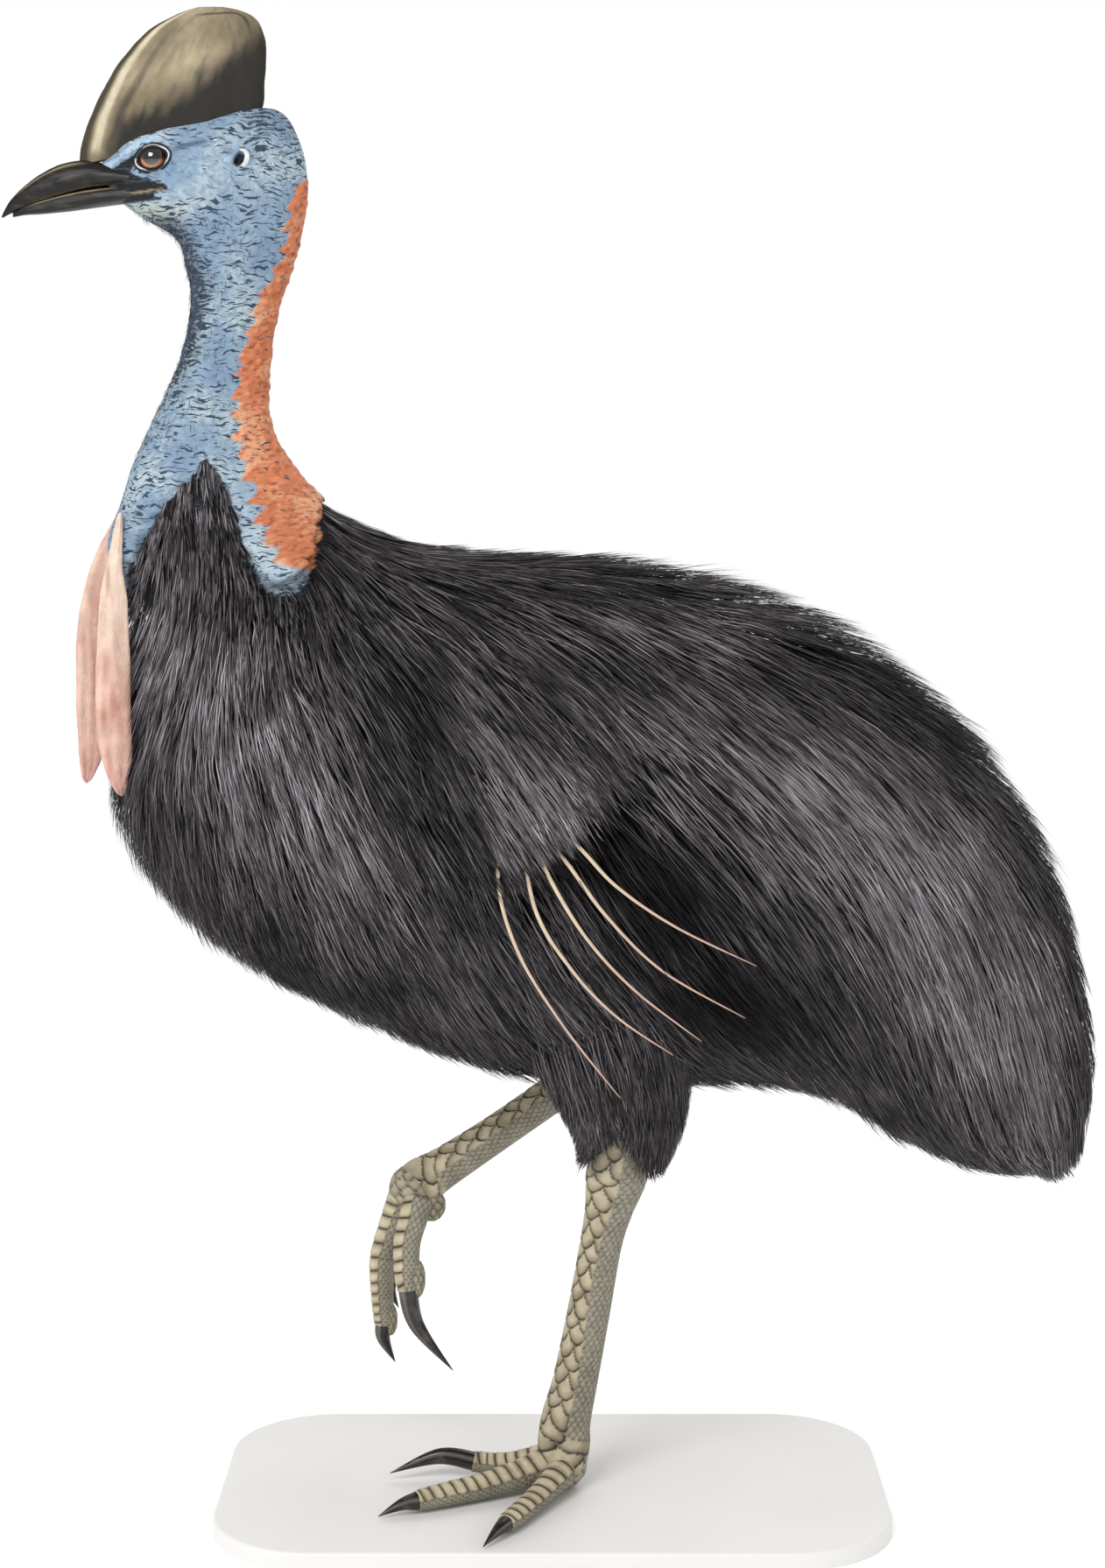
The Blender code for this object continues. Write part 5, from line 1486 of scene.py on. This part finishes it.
def coat_rise(points):
    """How far the coat swells over the wing stubs, in millimetres."""
    above, on_wing = over_wing(points)
    return WING_BULGE * on_wing * smooth_step(above, 200, 25) * smooth_step(above, -9, 5)


def lie_of_coat(s, a, under):
    """The body's slopes, its outward direction and the way feathers point: back and down."""
    along, around = body_slopes(s, a, under)
    normal = unit(np.cross(around, along))
    wish = unit(along) + DROOP * DOWN
    flat = unit(wish - dot(wish, normal)[:, None] * normal)
    return along, around, normal, flat


def walk(s, a, lengths, drift, under_at):
    """Points and normals down strands over the body. drift turns each one aside, in radians."""
    points, normals = [], []
    last = None
    for k in range(STEPS):
        under = under_at(k / (STEPS - 1))
        here = np.minimum(s, COAT_END + 0.4)
        along, around, normal, flat = lie_of_coat(here, a, under)
        spot = body_point(here, a, under)
        spot = spot + normal * coat_rise(spot)[:, None] * MM
        side = np.cross(normal, flat)
        heading = flat * np.cos(drift)[:, None] + side * np.sin(drift)[:, None]
        travel = (lengths / (STEPS - 1) * MM)[:, None]
        if last is not None:
            past = (s > COAT_END)[:, None]
            hang = points[-1] + unit(0.55 * last + 0.75 * DOWN) * travel * 0.55
            spot = np.where(past, hang, spot)
        points.append(spot)
        normals.append(normal)
        last = heading
        g11, g12, g22 = dot(along, along), dot(along, around), dot(around, around)
        r1, r2 = dot(along, heading * travel), dot(around, heading * travel)
        det = np.maximum(g11 * g22 - g12**2, 1e-12)
        s = s + np.clip((g22 * r1 - g12 * r2) / det, -1.2, 1.2)
        a = a + np.clip((g11 * r2 - g12 * r1) / det, -0.8, 0.8)
    return np.stack(points, axis=1), np.stack(normals, axis=1)


# %% Strands
def strand_tris(steps):
    """Faces of one three-sided strand: its root, its sides and its point."""
    tris = [(0, 2, 1)]
    for k in range(steps - 2):
        for c in range(3):
            low, next_low = 3 * k + c, 3 * k + (c + 1) % 3
            tris += [(low, next_low, next_low + 3), (low, next_low + 3, low + 3)]
    base = 3 * (steps - 2)
    tris += [(base + c, base + (c + 1) % 3, base + 3) for c in range(3)]
    return np.array(tris)


def strand_mesh(paths, normals, widths, thicks):
    """Thin three-sided strands along the paths, each ending in a point."""
    count, steps, _ = paths.shape
    along = unit(np.gradient(paths, axis=1))
    across = unit(np.cross(along, normals))
    out = unit(np.cross(across, along))[:, :-1]
    across = across[:, :-1]
    taper = np.array([0.3, 1.0, 0.95, 0.7]) if steps == STEPS else np.linspace(0.9, 0.6, steps - 1)
    half = (widths[:, None] * taper[None, :] * MM / 2)[:, :, None]
    high = (thicks[:, None] * taper[None, :] * MM)[:, :, None]
    body = paths[:, :-1]
    ring = np.stack([body + across * half, body - across * half, body + out * high], axis=2)
    points = np.concatenate([ring.reshape(count, -1, 3), paths[:, -1:]], axis=1)
    per = points.shape[1]
    faces = (np.arange(count)[:, None, None] * per + strand_tris(steps)[None]).reshape(-1, 3)
    return points.reshape(-1, 3), faces, per


def coat_piece(name, strands, node):
    """One piece of the coat from (paths, normals, widths, thicks, shade, u, v). u and v place
    each strand on the piece's own map."""
    paths, normals, widths, thicks, shade, u, v = strands
    points, tris, per = strand_mesh(paths, normals, widths, thicks)
    piece = new_piece(name, points, tris=tris, tint=np.repeat(shade, per, axis=0))
    steps = paths.shape[1]
    local_v = np.concatenate([np.repeat(np.arange(steps - 1), 3), [steps - 1]]) / (steps - 1)
    local_u = np.concatenate([np.tile([0.0, 1.0, 0.5], steps - 1), [0.5]])
    point_u = (u[:, None] + 0.003 * local_u[None, :]).ravel()
    point_v = (v[:, None] + 0.003 * local_v[None, :]).ravel()
    uv = np.stack([point_u[tris.ravel()], point_v[tris.ravel()]], axis=1).astype(np.float32)
    piece.data.uv_layers.new(name="OFBake").data.foreach_set("uv", uv.ravel())
    dress(piece, COAT, "plumage", node)


# %% Lengths and roots
def feather_length(s, a, point):
    """Length of the feathers in millimetres. They are short where the coat begins on the neck."""
    length = np.interp(s, [11.4, 13, 15, 17, 19, 23, 26.5], [45, 60, 95, 130, 165, 185, 150])
    belly = smooth_step(-np.cos(a), 0.2, 1.0) * smooth_step(s, 15, 18)
    x, z = profile(point)
    edge = np.interp(x, PLUMAGE_EDGE[:, 0], PLUMAGE_EDGE[:, 1])
    return np.minimum(length * (1 - 0.3 * belly), 20 + np.maximum(edge - z, 0) * 0.9)


def spread(count, s_low, s_high):
    """Roots over the trunk's skin, closer together where the feathers are short."""
    tries = count * 14
    s = RNG.uniform(s_low, s_high, tries)
    a = RNG.uniform(0, 2 * math.pi, tries)
    along, around = body_slopes(s, a, 0.6)
    point = body_point(s, a, 0.6)
    area = np.linalg.norm(np.cross(along, around), axis=1)
    weight = area * (150 / feather_length(s, a, point)) ** 0.85
    lucky = RNG.uniform(0, 1, tries) < weight / np.quantile(weight, 0.99)
    keep = np.flatnonzero(lucky & in_plumage(point, -3.0))
    print("roots to choose from", len(keep))
    return s[keep[:count]], a[keep[:count]]


STRANDS = 7
FEATHERS = 8000
root_s, root_a = spread(FEATHERS, COAT_START, COAT_END)
grade = feather_length(root_s, root_a, body_point(root_s, root_a, 0.0))
feather = np.repeat(np.arange(len(root_s)), STRANDS)
count = len(feather)
print("feathers", len(root_s), "strands", count)

# %% [markdown]
# The strands of one feather start close together and point almost the same way. Each lies at
# its own depth in the coat, and one feather in five strays off it, as in a real coat that is
# never combed. The coat stands off the rump, the upper back and the breast, and lies close under
# the belly.

# %% Where each strand goes
turn = RNG.normal(0, 0.05, len(root_s))
strand_s = root_s[feather] + RNG.normal(0, 0.05, count)
strand_a = root_a[feather] + RNG.normal(0, 0.02, count)
lengths = grade[feather] * RNG.uniform(0.62, 1.12, count)
drift = turn[feather] + RNG.normal(0, 0.095, count)
lay = RNG.uniform(0.0, 1.0, len(root_s))[feather]
stray = (RNG.uniform(0, 1, len(root_s)) < 0.22) * RNG.uniform(0.03, 0.22, len(root_s))
stray = (stray * smooth_step(root_s, 13, 18))[feather]
dorsal = np.cos(root_a)
rear = smooth_step(root_s, 15, 18.5)[feather]
shag = smooth_step(dorsal, -0.1, 0.6)
shag = shag * (0.10 * smooth_step(root_s, 14, 16) + 0.11 * smooth_step(root_s, 16, 19.5))
shag += 0.10 * smooth_step(root_s, 20.5, 22.5) * smooth_step(dorsal, -0.6, 0.2)
breast = smooth_step(-dorsal, 0.2, 0.8) * 0.20
shag += breast * smooth_step(root_s, 12.6, 14.2) * smooth_step(-root_s, -18, -16)
shag = shag[feather]
sleek = (0.08 * smooth_step(-dorsal, 0.5, 0.9) * smooth_step(root_s, 16.5, 18))[feather]
start = 0.55 + 0.28 * RNG.uniform(0, 1, count)


def depth_at(t):
    """Depth of the strands below the outline at a share t of their length."""
    end = 0.32 * lay * (1 - 0.5 * t) - (0.10 * rear + shag - sleek + stray) * t
    return start * (1 - t) ** 1.5 + end * (1 - (1 - t) ** 1.5)


# %% [markdown]
# The coat ends in a clear hem under the wing and under the tail. The strands are walked once to
# see where they cross a hem, and walked again with those cut short. Then each feather's strands
# are drawn together towards their tips, as damp barbs cling, and everything sways a little.

# %% Hems and tufts
TAIL_HEM = np.array([
    (398, 400), (439, 379), (480, 367), (522, 357), (563, 360), (598, 366), (618, 390), (632, 430),
    (645, 480),
], float)


def kept_share(above):
    """The share of each strand that lies above a hem, from its height over it at each step."""
    return np.clip(above[:, 0] / np.maximum(above[:, 0] - above[:, -1], 1), 0.15, 1.0)


paths, normals = walk(strand_s, strand_a, lengths, drift, depth_at)
above, on_wing = over_wing(paths)
ends_there = (above[:, 0] > 12) & (above[:, -1] < 0) & (on_wing.max(axis=1) > 0.4)
trim = np.where(ends_there, kept_share(above) + RNG.uniform(-0.03, 0.25, count), 1.0)
x, z = profile(paths)
rise = z - np.interp(x, TAIL_HEM[:, 0], TAIL_HEM[:, 1])
ends_there = (rise[:, 0] > 0) & (rise[:, -1] < 0)
trim = np.where(ends_there, np.minimum(trim, kept_share(rise) + RNG.uniform(-0.06, 0.09, count)), trim)
paths, normals = walk(strand_s, strand_a, lengths * trim, drift, depth_at)
sway = RNG.normal(0, 1, (count, 1, 3)) * np.array([0, 0.3, 1.0, 1.6, 2.0])[None, :, None] * 0.8 * MM
together = paths.reshape(-1, STRANDS, STEPS, 3)
middle = together.mean(axis=1, keepdims=True)
cling = RNG.uniform(0.2, 1.1, len(root_s))[:, None, None, None]
hold = np.array([0, 0.06, 0.18, 0.38, 0.6])[None, None, :, None] * cling
paths = (together + (middle - together) * hold).reshape(-1, STEPS, 3) + sway
ripe = in_plumage(paths[:, 0], 0.0)
x, z = profile(paths)
over_wattle = (x < -474) & (paths[..., 1] < -0.048) & (z > 835) & (z < 1060)
ripe &= ~over_wattle.any(axis=1)
widths = RNG.uniform(1.2, 2.2, count)
thicks = RNG.uniform(0.5, 0.8, count)
print("strands kept", int(ripe.sum()))

# %% [markdown]
# Black feathers show their form only by their shine. Lights alone give a broad sheen, so a
# painted sheen follows it in the strands' colour: more of them are slate grey where the coat
# turns to the light, and as painted shade almost none in the hollow under the wing.

# %% Painted sheen and shade of the coat
# Patches of painted sheen, where more strands are slate grey. Those with a negative amount are painted shade,
# under the wing, behind the breast and in other folds.
SHEEN_AND_SHADE_PATCHES = (
    (-350, 930, 85, 130, 1.1), (-225, 790, 90, 75, 0.8), (-30, 850, 70, 60, 1.05), (120, 905, 70, 60, 0.6),
    (235, 850, 110, 75, 0.7), (400, 745, 110, 120, 1.1), (480, 600, 85, 120, 1.1), (130, 1025, 170, 24, 0.7),
    (20, 590, 60, 60, 0.5), (500, 450, 70, 60, 0.5), (-120, 1000, 60, 60, 0.35),
    (-140, 920, 40, 120, -0.25), (95, 765, 60, 60, -0.9), (185, 620, 100, 60, -0.6),
    (-300, 1080, 60, 60, -0.4),
)
COAT_BLACK = np.array((0.0075, 0.0066, 0.0075))
COAT_GREY = np.array((0.40, 0.365, 0.39))


def painted_sheen_and_shade(points):
    """Painted sheen where the plumage catches the light: the breast, the wing, the flank and the
    rump. Patches with a negative amount are painted shade in its hollows.
    """
    x, z = profile(points)
    total = 0
    for cx, cz, wide, high, much in SHEEN_AND_SHADE_PATCHES:
        lean = (x - cx) + 0.45 * (z - cz)
        total = total + much * np.exp(-((lean / wide) ** 2) - ((z - cz) / high) ** 2)
    return np.clip(total, -0.6, 1.3)


def coat_shade(points, feather_luck, strand_luck):
    """Black strands, a few of them slate grey, more of these as painted sheen where the coat
    turns to the light, and fewer as painted shade in its hollows.
    """
    lit = painted_sheen_and_shade(points) + 0.30 * noise_at(points * np.array([1, 1, 0.6]), 9, 5.0)
    patch = np.clip(0.57 + 1.0 * lit, 0.08, 2.0)
    many = 2.5 - 1.0 * np.clip(lit, 0, 1)
    grey = (0.22 * feather_luck**2 + 0.78 * strand_luck**many) * patch
    return mixed(COAT_BLACK, COAT_GREY, np.clip(grey, 0, 0.95))


shade = coat_shade(paths[:, 2], RNG.uniform(0, 1, len(root_s))[feather], RNG.uniform(0, 1, count))
back_line = smooth_step(np.cos(root_a), 0.78, 0.97) * smooth_step(root_s, 14.5, 16.5)
shade = shade * (1 - 0.3 * back_line[feather])[:, None]

# %% [markdown]
# The coat is cut into pieces across the body, so that none grows too heavy to handle.

# %% Pieces of the coat
REGIONS = (
    ("coat_collar", 14.0), ("coat_shoulder", 15.5), ("coat_breast", 16.6), ("coat_wing_front", 17.6),
    ("coat_wing_side", 18.6), ("coat_flank", 19.7), ("coat_hip", 21.0), ("coat_loin", 22.8),
    ("coat_rump", COAT_END + 1),
)
u_map = (root_a[feather] % (2 * math.pi)) / (2 * math.pi) * 0.9
v_map = (root_s[feather] - COAT_START) / (COAT_END + 0.5 - COAT_START) * 0.8
regions = np.digitize(root_s[feather], [end for name, end in REGIONS[:-1]])
for k, (name, end) in enumerate(REGIONS):
    pick = (regions == k) & ripe
    coat_piece(name, [data[pick] for data in (paths, normals, widths, thicks, shade, u_map, v_map)], "torso")

# %% [markdown]
# The thighs are feathered down to the hock. The body's lie doesn't reach them, so their strands
# follow the limb's own path instead. They are shorter and hang in rings, with a ragged hem.


# %% Thigh plumage
def thigh_strands(rows, first, count, seed, outer):
    """Strands round a thigh from the row first on. outer is the side that faces outward."""
    rng = np.random.default_rng(seed)
    place = rng.uniform(first, 3.45, count)
    angle = rng.uniform(0, 2 * math.pi, count)
    length = np.interp(place, [first, 3.45], [1.35, 0.95]) * rng.uniform(0.6, 1.1, count)
    reach = len(rows) - 1
    points, normals = [], []
    facing = np.clip(np.cos(angle - outer * (math.pi / 2 - 0.4)), 0, 1)
    hem = reach + rng.uniform(-0.25, 0.3, count) - 1.2 * facing**2.5
    hem += 0.45 * smooth_step(np.cos(angle), 0.0, 0.9)
    length = np.minimum(length, hem - place)
    keep = length > 0.25
    place, angle, length = place[keep], angle[keep], length[keep]
    count = len(place)
    drift = rng.normal(0, 0.12, count)
    lay = rng.uniform(0, 0.4, count)
    dense = spline(rows, np.linspace(0, reach, 200))
    line, along, front, side = limb_frame(dense, FORWARD)
    for k in range(STEPS):
        t = k / (STEPS - 1)
        here = place + length * t
        at = np.clip(here, 0, reach) / reach * 199
        i = np.minimum(at.astype(int), 198)
        f = (at - i)[:, None]
        data, centre, lengthwise, to_front, to_side = (
            table[i] * (1 - f) + table[i + 1] * f for table in (dense, line, along, front, side)
        )
        centre = centre + lengthwise * (np.maximum(here - reach, 0) * 52 * MM)[:, None]
        under = THIGH_COAT * ((0.85 * (1 - t) ** 1.5) + lay * (1 - 0.6 * t))
        under = under - 7 * t * smooth_step(-np.cos(angle), 0.1, 0.8)
        under = under - 8 * t * smooth_step(np.cos(angle), 0.1, 0.8)
        turn = angle + drift * t
        deep = ((data[:, 3] - under) * np.cos(turn) * MM)[:, None]
        wide = ((data[:, 4] - under) * np.sin(turn) * MM)[:, None]
        spoke = deep * to_front + wide * to_side
        points.append(centre + spoke)
        normals.append(unit(spoke))
    paths = np.stack(points, axis=1)
    widths = rng.uniform(1.3, 2.1, count)
    thicks = rng.uniform(0.45, 0.7, count)
    shade = coat_shade(paths[:, 2], rng.uniform(0, 1, count), rng.uniform(0, 1, count))
    u = angle / (2 * math.pi) * 0.4
    v = 0.84 + place / reach * 0.14
    return paths, np.stack(normals, axis=1), widths, thicks, shade, u, v


coat_piece("coat_thigh_left", thigh_strands(THIGH_LEFT, 0.9, 6200, 3, -1), "thigh_left")
coat_piece("coat_thigh_right", thigh_strands(THIGH_RIGHT, 1.2, 4800, 4, 1), "thigh_right")

# %% [markdown]
# ## Bristles
#
# The bare skin of the head and neck carries sparse black bristles, thickest at the throat and
# the back of the crown. Fine lines in the material would lie flat in the skin. These are strands
# like those of the coat, only short, stiff and alone, and none grows on the eye, the ear, the
# bill, the casque or the orange band.

# %% Where bristles grow
BRISTLES = 3600
s = RNG.uniform(0.6, 12.6, BRISTLES * 6)
a = RNG.uniform(0.25, 2 * math.pi - 0.25, BRISTLES * 6)
along, around = body_slopes(s, a, 1.0)
area = np.linalg.norm(np.cross(along, around), axis=1)
spot = body_point(s, a, 1.0)
x, z = profile(spot)
eye = np.hypot((x - EYE[0]) / 19, (z - EYE[1]) / 17)
ear = np.hypot(x - EAR[0], z - EAR[1])
horn = z > np.interp(x, CASQUE_FOOT[:, 0], CASQUE_FOOT[:, 1]) - 2
bill = (x < -430) & (z < 1530) & (z > 1486)
throat = smooth_step(behind_front(x, z), 40, 5) * (z < 1470)
crown = smooth_step(z, 1540, 1580) * (x > -350)
free = (eye > 1) & (ear > 11) & ~horn & ~bill & ~in_plumage(spot, -4) & (band_depth(spot) < 0)
weight = (0.25 + 0.75 * np.maximum(throat, crown)) * free
keep = np.flatnonzero(RNG.uniform(0, 1, len(s)) < weight * area / area.max())[:BRISTLES]
s, a = s[keep], a[keep]
print("bristles", len(s))

# %% Bristles
along, around = body_slopes(s, a, 1.0)
normal = unit(np.cross(around, along))
root = body_point(s, a, 1.0)
length = RNG.uniform(6, 13, len(s))[:, None] * MM
heading = unit(unit(unit(along) + 0.5 * DOWN) + 0.22 * normal + RNG.normal(0, 0.16, (len(s), 3)))
bend = root + heading * length * 0.5 + 0.0004 * normal
tip = root + unit(heading - 0.15 * normal) * length
paths = np.stack([root - 0.0008 * normal, bend, tip], axis=1)
normals = np.repeat(normal[:, None], 3, axis=1)
sizes = (RNG.uniform(0.35, 0.6, len(s)), RNG.uniform(0.3, 0.45, len(s)))
points, tris, per = strand_mesh(paths, normals, *sizes)
bristles = new_piece("bristles", points, tris=tris, tint=(0.012, 0.013, 0.018))
home = np.stack([a / (2 * math.pi) * 0.9, 0.985 + s / 12.6 * 0.012], axis=1)
uv = np.repeat(home, len(tris) // len(s) * 3, axis=0).astype(np.float32)
bristles.data.uv_layers.new(name="OFBake").data.foreach_set("uv", uv.ravel())
dress(bristles, COAT, "plumage", "head")

# %% [markdown]
# ## Base
#
# A bird on one foot needs something that holds it, so it stands on a plain pale slab with round
# corners. A cube with a bevel would do. A stack of outlines does the same in one call: each
# level is the same rounded rectangle, drawn in a little where the edge is turned over.

# %% Base
BASE_LENGTH, BASE_WIDTH, BASE_CORNER, BASE_CHAMFER = 0.780, 0.440, 0.120, 0.004
OUTLINE_POINTS = 128
LACQUER = finish_material("base lacquer", 0.5, colour=(0.70, 0.69, 0.67), mottle=(6, 0.98, 1.02))
turn = turned(OUTLINE_POINTS)
quarter = np.floor(turn / (math.pi / 2) + 1e-6).astype(int) % 4
corner_x = np.array([1, -1, -1, 1])[quarter] * (BASE_LENGTH / 2 - BASE_CORNER)
corner_y = np.array([1, 1, -1, -1])[quarter] * (BASE_WIDTH / 2 - BASE_CORNER)


def base_outline(height, inset):
    radius = BASE_CORNER - inset
    x = corner_x + radius * np.cos(turn)
    return np.stack([x, corner_y + radius * np.sin(turn), np.full(OUTLINE_POINTS, height)], axis=1)


rings = [base_outline(0.0, 0.0005), base_outline(0.0005, 0.0), base_outline(BASE_THICK - BASE_CHAMFER, 0.0)]
for q in np.linspace(0.2, math.pi / 2, 7):
    height = BASE_THICK - BASE_CHAMFER * (1 - math.sin(q))
    rings.append(base_outline(height, BASE_CHAMFER * (1 - math.cos(q))))
base = new_piece("base_slab", *loft(rings))
base.data.set_sharp_from_angle(angle=math.radians(35))
dress(base, LACQUER, "base_lacquer", "stand_base")

# %% [markdown]
# ## Floor
#
# The bird is seen against plain white, so the floor is a white sheet that runs far past the
# frame.

# %% Floor
floor_material = bpy.data.materials.new("floor")
floor_material.use_nodes = True
paint = floor_material.node_tree.nodes["Principled BSDF"].inputs
paint["Base Color"].default_value = (1.0, 1.0, 1.0, 1)
paint["Roughness"].default_value = 1.0
paint["Specular IOR Level"].default_value = 0.0
corners = np.array([(-30, -30, 0), (30, -30, 0), (30, 30, 0), (-30, 30, 0)], float)
floor = new_piece("floor", corners, quads=np.array([(0, 1, 2, 3)]), smooth=False)
floor.data.materials.append(floor_material)
floor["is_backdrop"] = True

# %% [markdown]
# ## Light
#
# A white surround lights the bird from every side, as a light tent does. Horn and feathers
# would mirror it and turn grey, so reflected rays see it dimmed. One large lamp from the front
# and above gives the form its shading, and a weaker one behind keeps the back from going flat.

# %% Light
DIMMED = 0.35
world = bpy.data.worlds.new("studio")
world.use_nodes = True
tree = world.node_tree
surround = tree.nodes["Background"]
surround.inputs["Color"].default_value = (1.0, 1.0, 1.0, 1)
ray = add(tree, "ShaderNodeLightPath").outputs["Is Glossy Ray"]
dim = add(tree, "ShaderNodeMapRange", [("Value", ray), ("To Min", 1.0), ("To Max", DIMMED)])
tree.links.new(dim.outputs["Result"], surround.inputs["Strength"])
bpy.context.scene.world = world


def soft_light(name, place, size, watts):
    """A lamp with a wide face, turned to the middle of the bird."""
    lamp = bpy.data.lights.new(name, "AREA")
    lamp.energy = watts
    lamp.shape = "RECTANGLE"
    lamp.size, lamp.size_y = size
    obj = bpy.data.objects.new(name, lamp)
    obj.location = place
    obj.rotation_euler = (Vector((0, 0, 1.0)) - Vector(place)).to_track_quat("-Z", "Y").to_euler()
    bpy.context.scene.collection.objects.link(obj)


soft_light("key", (-1.4, -2.9, 3.3), (1.8, 1.5), 90)
soft_light("back", (1.4, 2.6, 2.8), (2.0, 2.0), 28)
bpy.context.scene.view_settings.view_transform = "Standard"

# %% [markdown]
# ## Camera
#
# The picture shows the bird in profile from a little above its middle. The camera stands about
# three metres off, square to the bird's side, and tips down until the feet are in the frame. The
# lens follows from how many of the picture's pixels one metre covers at that distance.

# %% Camera
CAMERA_AWAY = 3.10
CAMERA_HEIGHT = 1.24
CAMERA_DOWN = 7.15
FOCAL_PIXELS = 3105
PICTURE_HEIGHT = 1791
SENSOR = 36
camera = bpy.data.cameras.new("camera")
camera.sensor_width = SENSOR
camera.lens = SENSOR * FOCAL_PIXELS / PICTURE_HEIGHT
viewer = bpy.data.objects.new("camera", camera)
viewer.location = (0, -CAMERA_AWAY, CAMERA_HEIGHT)
viewer.rotation_euler = (math.radians(90 - CAMERA_DOWN), 0, 0)
bpy.context.scene.collection.objects.link(viewer)
bpy.context.scene.camera = viewer
print("lens", round(camera.lens, 1), "mm")

# %% [markdown]
# ## The end
#
# The size before and after dressing is measured, and the triangles of all the shown pieces are
# counted.

# %% The end
size_at_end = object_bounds()
sizes = [[list(corner) for corner in size] for size in (size_at_start, size_at_end)]
meshes = [piece.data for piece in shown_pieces()]
print("triangles", sum(len(mesh.loops) - 2 * len(mesh.polygons) for mesh in meshes))
